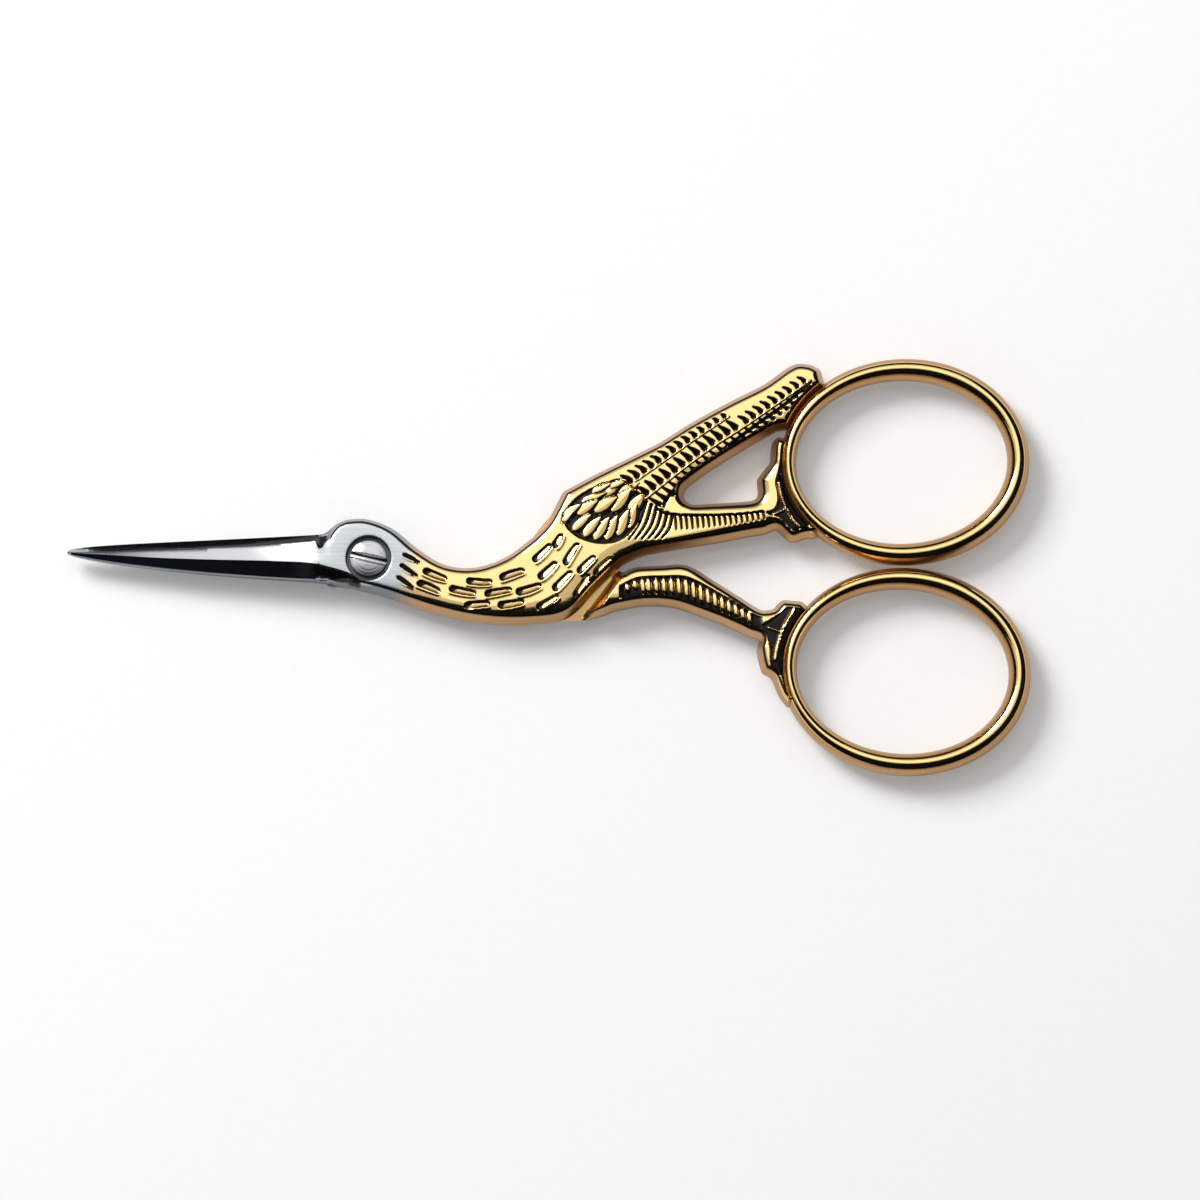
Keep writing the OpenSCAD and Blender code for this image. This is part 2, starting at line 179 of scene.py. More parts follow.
def edge_points(stations: Sequence[Sequence[float]], upper: bool) -> Points:
    """Returns the upper or lower edge of a limb from its stations.

    Args:
        stations: Rows of middle x, middle y, width and lean.
        upper: True for the upper edge.

    Returns:
        The points of that edge, along the limb.
    """
    rows = smooth_rows(stations)
    lean = np.radians(rows[:, 3])
    reach = rows[:, 2] / 2 * (1 if upper else -1)
    return rows[:, :2] + np.stack([np.cos(lean), np.sin(lean)], axis=1) * reach[:, None]


def between(points: Points, low: float, high: float) -> Points:
    """Keeps the points whose x lies between low and high."""
    return points[(points[:, 0] >= low) & (points[:, 0] <= high)]


def tree_of(points: Points) -> kdtree.KDTree:
    """Builds a nearest-point finder over flat points."""
    tree = kdtree.KDTree(len(points))
    for i, p in enumerate(points):
        tree.insert((p[0], p[1], 0.0), i)
    tree.balance()
    return tree


def nearest(tree: kdtree.KDTree, points: Points) -> tuple[np.ndarray, Points]:
    """Returns the nearest tree point of each point, and how far it is."""
    found = [tree.find((p[0], p[1], 0.0)) for p in points]
    return np.array([f[1] for f in found], dtype=int), np.array([f[2] for f in found])


# The stork's stations, as the forging's middle, width and lean


NECK = [
    (-2.2, 0.72, 6.45, 90), (-0.3, 0.55, 6.9, 89), (2, -0.2, 6.6, 87), (4.25, -1.55, 5.4, 82),
    (6.85, -2.7, 4.75, 82), (10.1, -3.2, 5.25, 92), (13.75, -2.8, 6.7, 106), (16.95, -1.55, 8.3, 113),
]
BREAST = [
    (19.2, 1.1, 8.7, 119), (20.85, 2.95, 8.85, 125), (21.587, 3.466, 8.9, 124),
    (23.4, 4.4, 9.1, 121.5), (25.6, 5.2, 9.7, 115), (27.9, 6.1, 10.5, 108),
]
WING = [
    (22.2, 5.6, 5.6, 121), (25.1, 7.1, 6, 117), (27.9, 8.75, 5.1, 118), (31.2, 10.95, 4.85, 119),
    (34.75, 13.05, 4.65, 118), (37.9, 14.8, 4.4, 116), (40.5, 17, 3.7, 112), (42, 17.6, 2.2, 112),
]
FRONT_LEG = [
    (25.2, 3.4, 5.8, 100), (28.75, 3.25, 4.3, 94), (32.5, 3.6, 3.8, 90), (36.2, 4.1, 3.4, 90), (39, 4.6, 3.6, 96),
]
BACK_LEG = [
    (24, -2.65, 4.75, 64), (26.5, -2.35, 4.2, 68), (29.1, -2.4, 4.25, 71), (31.7, -3.6, 3.6, 64),
    (34, -4.75, 3.1, 62), (36.2, -5.95, 2.8, 64), (38.8, -7.1, 3.4, 70),
]

# Meshing and finishes

CELL = 0.5  # the grid that finds the places inside a rim
HOLE_ROWS = (0.0, 0.045, 0.1)  # the rows of points round a hole, past its radius
WALL_ROWS = 5  # the outermost rows of a plate, which are its wall
BLADE_X = -4.6  # where the ground blade begins, towards its tip
CONTACT_X = -3.4  # where the hollow grinding of the inner face begins
# Near-black colour of the shade painted into the recesses, the grooves and along the face's edges
PAINTED_SHADE_COLOR = (0.019, 0.0175, 0.016, 1)


# Forms of the blade and the rings


@dataclass(frozen=True)
class BladeForm:
    """The facets of a blade, before it is laid on its half. The share u runs from pivot to tip."""

    rise: float = 0.85
    root_rise: float = 0.28
    spine_reach: float = 2.55
    edge_reach: float = 1.85
    tip_reach: float = 0.14
    tip_t: float = 0.4
    land: float = 0.11
    edge_fall: float = 0.38
    spine_fall: float = 0.34

    def middle(self, u: Points) -> Points:
        """Returns the level of the closed blades' middle."""
        return self.rise * u * u + self.root_rise * np.power(np.clip(1 - u, 0, 1), 1.3)

    def spine(self, u: Points) -> Points:
        """Returns the reach from the middle to the spine."""
        return blend(self.tip_reach, self.spine_reach, np.power(np.clip(1 - u, 0, 1), 0.6))

    def edge(self, u: Points) -> Points:
        """Returns the reach from the middle to the cutting edge."""
        return blend(self.tip_reach / 3, self.edge_reach, np.power(np.clip(1 - u, 0, 1), 0.95))

    def crest(self, u: Points) -> Points:
        """Returns the crest's level below the middle."""
        places = [-0.1, 0, 0.05, 0.08, 0.12, 0.17, 0.22, 0.35, 0.7, 1]
        shares = [1, 0.93, 0.72, 0.6, 0.47, 0.33, 0.25, 0.2, 0.2, 0.1]
        return np.interp(u, places, shares) * self.spine(u)

    def thickness(self, u: Points) -> Points:
        """Returns the height of the crest over the inner face."""
        plain = blend(HALF_T, self.tip_t, np.clip(u, 0, 1))
        return blend(plain, HALF_T, smooth_step((0.24 - u) / 0.1))

    def facets(self, u: Points, y: Points) -> tuple[Points, Points]:
        """Returns the heights of the two ground facets.

        Args:
            u: Shares of the blade's length from the pivot.
            y: Positions across, with the cutting edge upwards.

        Returns:
            Heights over the parting plane, of the facet to the edge and of the one to the spine.
        """
        crest_z = self.thickness(u)
        crest_y = self.middle(u) - self.crest(u)
        edge_y = self.middle(u) + self.edge(u) - np.minimum(self.land, self.edge(u) / 2)
        spine_y = self.middle(u) - self.spine(u)
        fall = self.edge_fall * (1 - smooth_step((0.4 - u) / 0.27))
        upper = crest_z - (y - crest_y) * fall * crest_z / np.maximum(edge_y - crest_y, 0.05)
        span = np.maximum(0.94 * (crest_y - spine_y), 0.05)
        lower = crest_z + (y - crest_y) * self.spine_fall * crest_z / span
        return upper, lower


BLADE = BladeForm()


@dataclass(frozen=True)
class RingForm:
    """A finger ring's place, openings and band."""

    y: float
    tilt: float
    length: float = 19.8
    width: float = 15.5
    band: float = 2.08
    side: float = 1.79
    shift: float = 0.3

    def inside(self, a: Points) -> Points:
        """Returns points of the opening, in the ring's own axes."""
        return np.stack([self.length / 2 * np.cos(a), self.width / 2 * np.sin(a)], axis=-1)

    def outside(self, a: Points) -> Points:
        """Returns points of the outside, in the ring's own axes."""
        x = self.shift + (self.length / 2 + self.side) * np.cos(a)
        return np.stack([x, (self.width / 2 + self.band) * np.sin(a)], axis=-1)

    def placed(self, points: Points) -> Points:
        """Turns points to the ring's tilt and moves them to its place."""
        t = math.radians(self.tilt)
        turn = np.array([[math.cos(t), -math.sin(t)], [math.sin(t), math.cos(t)]])
        return points @ turn.T + np.array([RING_X, self.y])

    def out_point(self, angle: float, reach: float) -> Points:
        """Returns the point past the outside at an angle of the scissors' own axes."""
        p = self.outside(np.radians(angle - self.tilt))
        return self.placed(p * (1 + reach / np.linalg.norm(p)))

    def band_point(self, angle: float, share: float) -> Points:
        """Returns a point of the band, at a share from inside to outside."""
        a = np.radians(angle - self.tilt)
        return self.placed(blend(self.inside(a), self.outside(a), share))


UPPER_RING = RingForm(y=9.4226, tilt=2.0)
LOWER_RING = RingForm(y=-10.4285, tilt=-4.2)


@dataclass(frozen=True)
class StopStep:
    """The sloped step across a half, where the two halves meet when closed."""

    spot: tuple
    lean: float
    length: float


STOP_STEPS = {
    Side.FRONT: StopStep((20.85, 2.95), 35, 0.9),
    Side.BACK: StopStep((21.6, -3.15), -37, 0.95),
}


# Outlines


@dataclass
class Outline:
    """The closed outline of a half, walked with the metal on the left."""

    side: Side
    step: float = 0.12
    blade_step: float = 0.3

    def parts(self) -> list[Points]:
        """Returns the runs of points of the outline, in order."""
        return self.front_parts() if self.side is Side.FRONT else self.back_parts()

    def blade_run(self, lower: bool) -> Points:
        """Returns one long side of the blade, from tip to root.

        Args:
            lower: True for the side towards -Y.

        Returns:
            Points from the tip to where the boss begins.
        """
        u = np.concatenate([[1.0, 0.995, 0.985], np.linspace(0.97, 0.175, 60)])
        front = self.side is Side.FRONT
        reach = BLADE.spine(u) if lower == front else BLADE.edge(u)
        y = BLADE.middle(u) + (-reach if lower else reach)
        return np.stack([-BLADE_L * u, y], axis=1)

    def nick(self, upper: bool) -> Points:
        """Returns the nick between boss and cutting edge, from the boss to the edge."""
        points = np.array([
            (-3.75, 2.85), (-4.08, 2.2), (-4.3, 1.55), (-4.44, 1.12), (-4.54, 1.0), (-4.66, 1.14), (-4.8, 1.62),
        ])
        return points if upper else points * np.array([1, -1]) + np.array([0, 0.3])

    def neck_top(self) -> Points:
        """Returns the neck's upper edge from breast to boss."""
        return between(edge_points(NECK, True), -2.5, 15.6)[::-1]

    @staticmethod
    def past_ring(ring: RingForm, stations: Sequence[tuple]) -> Points:
        """Returns points beside a ring, from rows of angle and reach past its outside."""
        return np.array([ring.out_point(angle, reach) for angle, reach in stations])

    @staticmethod
    def band(ring: RingForm, start: float, stop: float) -> Points:
        """Returns points along the middle of the ring's band, where the plate ends inside it."""
        return np.array([ring.band_point(angle, 0.5) for angle in np.linspace(start, stop, 24)])

    def front_parts(self) -> list[Points]:
        """Returns the front half's runs: blade, neck, leg, collar, window and wing."""
        ring = UPPER_RING
        collar_low = self.past_ring(ring, [(212, 2.45), (218.5, 2.3), (221, 2), (223, 0.8), (226, 0.3)])
        collar_top = self.past_ring(
            ring, [(166, 0.6), (170, 1), (175, 0.97), (180, 0.95), (184.4, 1.7), (188, 2.35)]
        )
        leg_low = between(edge_points(FRONT_LEG, False), 27.2, 37.3)
        leg_top = between(edge_points(FRONT_LEG, True), 30.2, 36.0)[::-1]
        corner = np.array([(29.6, 5.7), (29.42, 6.2), (29.6, 6.8)])
        wing_low = between(edge_points(WING, False), 30.4, 38.3)
        wing_end = self.past_ring(ring, [(angle, -0.3) for angle in np.linspace(161, 131, 14)])
        tip = np.array([(42.55, 17.35), (42.35, 18.2), (41.5, 18.68)])
        wing_top = between(edge_points(WING, True), 26.4, 41.0)[::-1]
        shoulder = np.array([
            (21.25, 8.29), (19.9, 7.56), (18.75, 6.93), (18.16, 6.62), (17.9, 6.1), (17.27, 4.82), (16.68, 3.75),
            (16.2, 3.15),
        ])
        low = between(edge_points(NECK + BREAST, False), -2.3, 26.6)
        return [
            self.blade_run(True), np.array([(-4.0, -2.2), (-3.1, -2.4)]), low, leg_low, collar_low,
            self.band(ring, 226, 166), collar_top, np.array([(36.42, 6.35), (36.3, 5.95)]), leg_top, corner,
            wing_low, wing_end, tip, wing_top, shoulder, self.neck_top(), np.array([(-3.1, 3.55)]),
            self.nick(True), self.blade_run(False)[::-1],
        ]

    def back_parts(self) -> list[Points]:
        """Returns the back half's runs: blade, neck, leg and collar."""
        ring = LOWER_RING
        collar_low = self.past_ring(
            ring, [(166, 2.38), (171, 2.4), (176.4, 2.1), (181.6, 1.8), (184.4, 0.9), (194, 0.6), (201, 0.2)]
        )
        collar_top = self.past_ring(ring, [(141, 0.6), (142.6, 1.1), (145.2, 2.1), (148.2, 2.3), (151, 2.3)])
        leg_top = between(edge_points(BACK_LEG, True), 25.0, 37.0)[::-1]
        leg_low = between(edge_points(BACK_LEG, False), 22.9, 35.6)
        rump = np.array([
            (24.3, -0.75), (23.8, -1.1), (23.31, -0.85), (22.5, 0.35), (21.45, 1.7), (19.63, 3.48), (17.8, 4.5),
            (16.75, 4.1),
        ])
        low = between(edge_points(NECK, False), -2.3, 17.2)
        return [
            self.blade_run(True), self.nick(False)[::-1], np.array([(-3.0, -2.42)]), low,
            np.array([(18.9, -5.62), (20.64, -5.55), (21.8, -5.25)]), leg_low, collar_low,
            self.band(ring, 201, 141), collar_top, leg_top, rump, self.neck_top(),
            np.array([(-3.1, 3.55), (-3.75, 2.95), (-4.25, 2.6)]), self.blade_run(False)[::-1],
        ]

    def points(self) -> Points:
        """Returns the outline at an even spacing, its corners eased."""
        raw = np.vstack(self.parts())
        keep = [0]
        for i in range(1, len(raw)):
            if np.linalg.norm(raw[i] - raw[keep[-1]]) > 0.02:
                keep.append(i)
        raw = raw[keep]
        raw = np.vstack([raw, raw[:1]])
        run = run_of(raw)
        places = [0.0]
        while places[-1] < run[-1] - 0.06:
            x = np.interp(places[-1], run, raw[:, 0])
            far = float(np.clip((-5.2 - x) / 2.0, 0, 1)) * float(np.clip((x + 28.2) / 1.2, 0.12, 1))
            places.append(places[-1] + self.step + (self.blade_step - self.step) * far)
        places = np.array(places[:-1])
        pts = at_run(raw, run, places).T
        corner = np.exp(-np.sum((pts - np.array([18.2, 6.6])) ** 2, axis=1) / 0.6)
        soft = (np.clip((pts[:, 0] + 4.9) / 0.6, 0.0, 1) * (1 - 0.6 * corner))[:, None]
        for _ in range(5):
            pts = pts + 0.25 * soft * (np.roll(pts, 1, 0) + np.roll(pts, -1, 0) - 2 * pts)
        return pts


def inward(points: Points) -> Points:
    """Returns the unit normals of a closed loop, towards its metal."""
    run = np.roll(points, -1, 0) - np.roll(points, 1, 0)
    run /= np.maximum(np.linalg.norm(run, axis=1), 1e-9)[:, None]
    return np.stack([-run[:, 1], run[:, 0]], axis=1)


def eased(values: Points, times: int) -> Points:
    """Evens out numbers along a closed loop."""
    for _ in range(times):
        values = values + 0.25 * (np.roll(values, 1, 0) + np.roll(values, -1, 0) - 2 * values)
    return values


@dataclass
class PlateForm:
    """The heights of a forged half over its outline."""

    side: Side
    outline: Outline
    draft: float = 0.56
    inset: float = 0.84
    bevel: float = 0.68
    loop: Points = field(init=False)
    rows: list[Points] = field(init=False)
    offsets: list[Points] = field(init=False)
    shares: Sequence[float] = (0.0, 0.18, 0.38, 0.53, 0.62, 0.69, 0.76, 0.84, 0.92, 1.0)

    def __post_init__(self) -> None:
        """Lays out the outline and the rows of its walls."""
        self.loop = self.outline.points()
        reach = self.wall_reach()
        self.rows = [self.loop]
        self.offsets = [np.zeros(len(self.loop))]
        for a, b in zip(self.shares[:-1], self.shares[1:]):
            row = self.rows[-1]
            row = row + inward(row) * (reach * (b - a))[:, None]
            run = np.roll(row, -1, 0) - np.roll(row, 1, 0)
            run /= np.maximum(np.linalg.norm(run, axis=1), 1e-9)[:, None]
            pull = 0.5 * (np.roll(row, 1, 0) + np.roll(row, -1, 0)) - row
            along = np.sum(pull * run, axis=1)[:, None] * run
            body = self.body_share(row)[:, None]
            row = row + body * (0.4 * along + 0.08 * (pull - along))
            row = self.untangled(row, reach * b)
            self.rows.append(row)
            self.offsets.append(reach * b)

    def untangled(self, row: Points, offset: Points) -> Points:
        """Draws a row's points together where a corner would fold them over.

        Args:
            row: The row, moved in from the outline.
            offset: How far each point should lie from the outline.

        Returns:
            The row without folds.
        """
        d = np.abs(from_loop(row, self.loop)[0])
        bad = (d < 0.93 * offset - 0.012) & (offset > 0.05)
        if not bad.any():
            return row
        bad |= np.roll(bad, 1) | np.roll(bad, -1)
        n = len(row)
        good = np.nonzero(~bad)[0]
        ids = np.arange(n)
        far = np.concatenate([good - n, good, good + n])
        return np.stack([np.interp(ids, far, np.tile(row[good, c], 3)) for c in range(2)], axis=1)

    def up_side(self, points: Points) -> Points:
        """Turns points so that the cutting edge is upwards, as on the front blade."""
        if self.side is Side.FRONT:
            return points[:, 1]
        middle = BLADE.middle(np.clip(-points[:, 0] / BLADE_L, 0, 1))
        return 2 * middle - points[:, 1]

    def body_share(self, points: Points) -> Points:
        """Returns 1 on the forged body and 0 on the ground blade."""
        x = points[:, 0]
        return smooth_step((x + 5.0) / 1.1)

    def wall_reach(self) -> Points:
        """Returns how far each outline point's wall and rounding reach in."""
        p = self.loop
        u = np.clip(-p[:, 0] / BLADE_L, 0, 1)
        y = self.up_side(p)
        edge = np.minimum(BLADE.land, BLADE.edge(u) * 0.5)
        spine = np.minimum(0.16, BLADE.spine(u) * 0.3)
        blade = np.where(y > BLADE.middle(u), edge, spine)
        body = blend(self.inset, 0.28, self.nick_share(p))
        reach = blend(blade, body, self.root_share(p))
        reach = np.minimum(reach, np.where(p[:, 0] > -4.0, 0.72 * self.free_depth(), reach))
        reach = np.minimum(reach, np.maximum(np.linalg.norm(p, axis=1) - SEAT_D / 2 - 0.25, 0.2))
        return np.minimum(eased(reach, 8), reach + 0.04)

    def root_share(self, points: Points) -> Points:
        """Returns how far the ground blade has turned into the forged body."""
        x = points[:, 0]
        low = self.up_side(points) < 0.2
        return np.where(low, smooth_step((x + 5.2) / 4.4), smooth_step((x + 5.3) / 1.5))

    def nick_share(self, points: Points) -> Points:
        """Returns 1 in the nick beside the boss and 0 away from it."""
        y = self.up_side(points)
        return np.clip(np.exp(-((points[:, 0] + 4.5) ** 2 + (y - 1.2) ** 2) / 0.5) * 1.4, 0, 1)

    def local_draft(self, points: Points) -> Points:
        """Returns the wall's draft, which is less in the nick."""
        return self.draft * (1 - 0.7 * self.nick_share(points))

    def hollow(self, points: Points, d: Points) -> Points:
        """Returns the depth of the hollow grinding of the blade's inner face."""
        x = points[:, 0]
        u = np.clip(-x / BLADE_L, 0, 1)
        full = np.minimum(0.3 * d, 0.46 * BLADE.thickness(u) / 2)
        return full * smooth_step((-4.3 - x) / 0.8) * smooth_step((x + 28.1) / 2.5)

    def free_depth(self) -> Points:
        """Returns how far each outline point may move in before it meets another side."""
        p = self.loop
        tree = tree_of(p)
        way = inward(eased(p, 2))
        depth = np.full(len(p), 0.05)
        going = np.ones(len(p), dtype=bool)
        for t in np.arange(0.1, 1.25, 0.05):
            ids, d = nearest(tree, p + way * t)
            apart = np.abs(ids - np.arange(len(p)))
            apart = np.minimum(apart, len(p) - apart)
            going &= (d > 0.92 * t - 0.02) | (apart < 15)
            depth = np.where(going, t, depth)
        return depth

    def crown(self, points: Points) -> tuple[Points, Points]:
        """Returns the crown's depth and the band over which it falls."""
        x = points[:, 0]
        depth = np.interp(x, [1.5, 6, 12, 16, 20, 24, 29], [0.05, 0.17, 0.18, 0.26, 0.3, 0.22, 0.2])
        band = np.interp(x, [0, 3, 7, 10, 13, 16, 19.5, 24, 29], [1.5, 1.2, 0.9, 0.9, 1.0, 1.5, 1.9, 1.3, 0.8])
        if self.side is Side.BACK:
            far = smooth_step((x - 21.5) / 2.0)
            return blend(depth, 0.14, far), blend(band, 0.8, far)
        top = np.interp(x, [30, 36, 38], [6.2, 6.2, 9.5])
        far = smooth_step((x - 25.5) / 3.0)
        leg = far * smooth_step((top - points[:, 1]) / 1.0)
        along = np.clip((x - 27) / 10, 0, 1)
        depth, band = blend(depth, 0.12, far - leg), blend(band, 0.7, far - leg)
        return blend(depth, blend(0.12, 0.3, along), leg), blend(band, blend(0.45, 0.9, along), leg)

    def reach(self, points: Points) -> Points:
        """Returns the height of the face over the parting plane before its crown."""
        x = points[:, 0]
        return blend(HALF_T, LIMB_T / 2, np.clip((x - 22.5) / 16.5, 0, 1)) - 0.05 * smooth_step((x - 2.5) / 2)

    def plate_height(self, points: Points, d: Points) -> Points:
        """Returns the body's height at a distance from the outline."""
        depth, band = self.crown(points)
        top = self.reach(points)
        draft = self.local_draft(points)
        away = np.clip(1 - (d - draft) / band, 0, 2.2)
        face = top - depth * away * away
        wall = (top - depth) / draft * d
        lip = top - depth * np.clip(1 - 0.2 / band, 0, 1) ** 2
        bevel = lip - self.bevel * (draft + 0.2 - d)
        cut = soft_low(wall, bevel, 0.07)
        return soft_low(cut, face, 0.07 + 0.25 * smooth_step((-3.2 - points[:, 0]) / 0.8))

    def edge_painted_shade(self, points: Points, d: Points) -> Points:
        """Returns the shade painted along the face's edge, in the nick, along the cutting edge and on the lower facet
        at the blade's root.

        Args:
            points: Flat points inside the outline.
            d: Their distances from the outline.

        Returns:
            The painted shade of each point, from 0 to 1.
        """
        x = points[:, 0]
        y = self.up_side(points)
        draft = self.local_draft(points)
        # Painted shade: a line where the face meets its wall, a line in the nick, a line along the cutting edge, and
        # the lower facet darkened at the blade's root
        line = smooth_step((d - draft + 0.06) / 0.05) * smooth_step((draft + 0.19 - d) / 0.06)
        line = line * smooth_step((x + 3.9) / 0.5)
        nick_shade = np.exp(-((x + 4.5 - 0.3 * (y - 1.1)) ** 2) / 0.05) * smooth_step((y - 0.85) / 0.2) * (y < 2.4)
        cutting = (x < -4.3) & (y > BLADE.middle(np.clip(-x / BLADE_L, 0, 1)))
        edge = 0.9 * cutting * smooth_step((0.14 - d) / 0.03)
        u = -x / BLADE_L
        lower = blend(BLADE.facets(u, y)[1], 9.0, smooth_step((x + 0.9) / 1.2))
        over = np.minimum(self.plate_height(points, np.maximum(d, 0.0)), HALF_T) - lower
        under = smooth_step((BLADE.middle(u) - BLADE.crest(u) - 0.04 - y) / 0.08)
        along = smooth_step((x + 8.0) / 3.5) * smooth_step((-0.5 - x) / 0.5)
        root = 0.9 * under * smooth_step((over + 0.3) / 0.1) * along
        return np.clip(line * (x > -0.9 - 3 * (y > 0)) + nick_shade * (d < 0.5) + edge + root, 0, 1)

    def height(self, points: Points, d: Points) -> Points:
        """Returns the outer face's height over the parting plane.

        Args:
            points: Flat points inside the outline.
            d: Their distances from the outline.

        Returns:
            Heights, blade facets and body joined.
        """
        y = self.up_side(points)
        x = points[:, 0]
        u = -x / BLADE_L
        plate = self.plate_height(points, np.maximum(d, 0.0))
        upper, lower = BLADE.facets(u, y)
        run_out = smooth_step((x + 5.4 - 0.3 * np.clip(y, -1.5, 1.5)) / 1.7)
        joined = blend(upper, np.minimum(plate, HALF_T), run_out)
        facet = np.minimum(joined, blend(lower, 9.0, smooth_step((x + 0.9) / 1.2)))
        return np.where(x < 0.4, facet, plate)

    def full_share(self, points: Points) -> Points:
        """Returns 0 where the half is one layer thick and 1 where it has both."""
        step = STOP_STEPS[self.side]
        return np.clip(((points - step.spot) @ unit(step.lean)) / step.length, 0, 1)

    @staticmethod
    def seat_fall(points: Points, radius: float) -> Points:
        """Returns the small rounding round a hole's rim."""
        r = np.linalg.norm(points, axis=1)
        return 0.05 * np.clip(1 - (r - radius) / 0.09, 0, 1) ** 2


@dataclass
class Carver:
    """Cuts and raises engraved work on a face's heights, and paints shade into its recesses and grooves."""

    points: Points
    heights: Points
    painted_shade: Points = field(init=False)

    def __post_init__(self) -> None:
        """Starts with no painted shade anywhere, bright gold everywhere."""
        self.painted_shade = np.zeros(len(self.points))

    def paint_shade(self, ids: np.ndarray, amount: Points) -> None:
        """Paints shade on points, keeping the darker of what is there and what is added."""
        self.painted_shade[ids] = np.maximum(self.painted_shade[ids], amount)

    def near(self, spot: Sequence[float], reach: float) -> np.ndarray:
        """Returns the ids of the points within reach of a spot."""
        d = self.points - np.array(spot)
        return np.nonzero((np.abs(d[:, 0]) < reach) & (np.abs(d[:, 1]) < reach))[0]

    def punch(
        self, spot: Sequence[float], lean: float, length: float, width: float, depth: float, bend: float, solid: float
    ) -> None:
        """Strikes one sunk feather mark with a raised lip on its lower right, and paints shade on its upper side and
        at its head.

        Args:
            spot: The middle of the mark.
            lean: The direction of its length, in degrees.
            length: Its length.
            width: Its width.
            depth: Its depth.
            bend: How much its line curves.
            solid: 1 for a mark painted dark with shade all over, 0 for one painted dark at its head only.
        """
        ids = self.near(spot, length / 2 + width * 1.6)
        if not len(ids):
            return
        way = unit(lean)
        side = np.array([way[1], -way[0]])
        rel = self.points[ids] - np.array(spot)
        s = rel @ way
        narrow = 1 - (0.22 + 0.4 * solid) * np.clip(s / (length / 2), 0, 1)
        t = (rel @ side - bend * s * s) / narrow
        over = np.maximum(np.abs(s) - (length - width) / 2, 0)
        r = np.hypot(over, t) / (width / 2)
        bowl = np.clip(1 - r, 0, 1)
        floor = smooth_step(bowl / np.where(t < 0, 0.62, 0.3))
        tilt = np.clip(0.5 - t / width, 0, 1)
        sunk = depth * floor * (0.25 + 0.75 * tilt)
        ends = np.clip(1 - over / (width * 0.6), 0, 1)
        lip = depth * 0.42 * np.exp(-((t - width * 0.5) / (width * 0.2)) ** 2) * ends
        self.heights[ids] += lip * (1 - floor * 0.5) - sunk
        head = np.clip((-s - (length / 2 - 0.8)) / 0.5, 0, 1)
        # Painted shade on the mark's upper side and head, the side of the groove turned from the light
        dark = smooth_step((-0.18 - t / width + 0.75 * head + 0.7 * solid) / 0.14)
        self.paint_shade(ids, dark * smooth_step((1.0 - r) / 0.2))

    def cut(
        self, line: Sequence[Sequence[float]], width: float, depth: float, ends: tuple[float, float] = (1.0, 1.0),
        paint_shade: float = 0.0,
    ) -> None:
        """Cuts a groove along a line, or raises a ridge when depth is below zero.

        Args:
            line: The points of the line.
            width: The groove's full width.
            depth: The groove's depth.
            ends: The shares of the width at its start and end.
            paint_shade: How much shade is painted dark into the groove. Below zero it wipes painted shade off a
                ridge, leaving it bright.
        """
        line = np.asarray(line, dtype=float)
        low = line.min(0) - width
        high = line.max(0) + width
        ids = np.nonzero(np.all((self.points > low) & (self.points < high), axis=1))[0]
        if not len(ids):
            return
        p = self.points[ids]
        best = np.full(len(ids), 9.0)
        share = np.zeros(len(ids))
        n = len(line) - 1
        for i in range(n):
            a, b = line[i], line[i + 1]
            ab = b - a
            t = np.clip(((p - a) @ ab) / max(float(ab @ ab), 1e-9), 0, 1)
            d = np.linalg.norm(p - a - t[:, None] * ab, axis=1)
            closer = d < best
            best = np.where(closer, d, best)
            share = np.where(closer, (i + t) / n, share)
        w = width / 2 * blend(ends[0], ends[1], share)
        form = smooth_step(1 - best / np.maximum(w, 1e-3))
        self.heights[ids] -= depth * form * np.clip(w / (width / 2), 0.4, 1)
        # A positive amount paints shade into the groove; a negative one wipes painted shade off a raised ridge
        if paint_shade > 0:
            self.paint_shade(ids, paint_shade * smooth_step((form - 0.12) / 0.35))
        elif paint_shade < 0:
            self.painted_shade[ids] *= 1 + paint_shade * smooth_step((form - 0.1) / 0.3)

    def field(self, loop: Points, depth: float, soft: float = 0.14) -> None:
        """Sinks a ground inside a closed loop and paints it dark with shade.

        Args:
            loop: The loop's points.
            depth: The ground's depth.
            soft: The width of its sloping side.
        """
        ids = np.nonzero(in_loop(self.points, loop))[0]
        if not len(ids):
            return
        _, d = nearest(tree_of(loop), self.points[ids])
        self.heights[ids] -= depth * smooth_step(d / soft)
        # Painted shade over the sunk ground, fading in from its rim
        self.paint_shade(ids, smooth_step((d - 0.02) / 0.09))

    def leaf(
        self, root: Sequence[float], lean: float, length: float, width: float, rise: float, floor: Points
    ) -> None:
        """Lays one feather, a pointed dome that slopes up to its tip.

        Args:
            root: The feather's root.
            lean: Its direction, in degrees.
            length: Its length.
            width: Its width.
            rise: Its height over the sunk ground.
            floor: The heights of the sunk ground.
        """
        ids = self.near(root, length + width)
        if not len(ids):
            return
        way = unit(lean)
        rel = self.points[ids] - np.array(root)
        s = rel @ way / length
        t = np.abs(rel @ np.array([-way[1], way[0]])) / (width / 2)
        c = np.clip(s, 1e-4, 1 - 1e-4)
        form = 2.35 * c ** 0.5 * (1 - c) ** 0.72
        q = t / np.maximum(form, 1e-3)
        inside = (q < 1) & (s > 0) & (s < 1)
        dome = floor[ids] + rise * (0.2 + 0.8 * np.sqrt(np.clip(1 - q * q, 0, 1))) * (0.5 + 0.5 * s)
        self.heights[ids] = np.where(inside, dome, self.heights[ids])
        # Inside the feather the painted shade is redone: clear on its dome, dark along its edge
        edge = smooth_step((q - 0.74) / 0.18) * smooth_step((s - 0.12) / 0.2)
        self.painted_shade[ids] = np.where(inside, edge, self.painted_shade[ids])

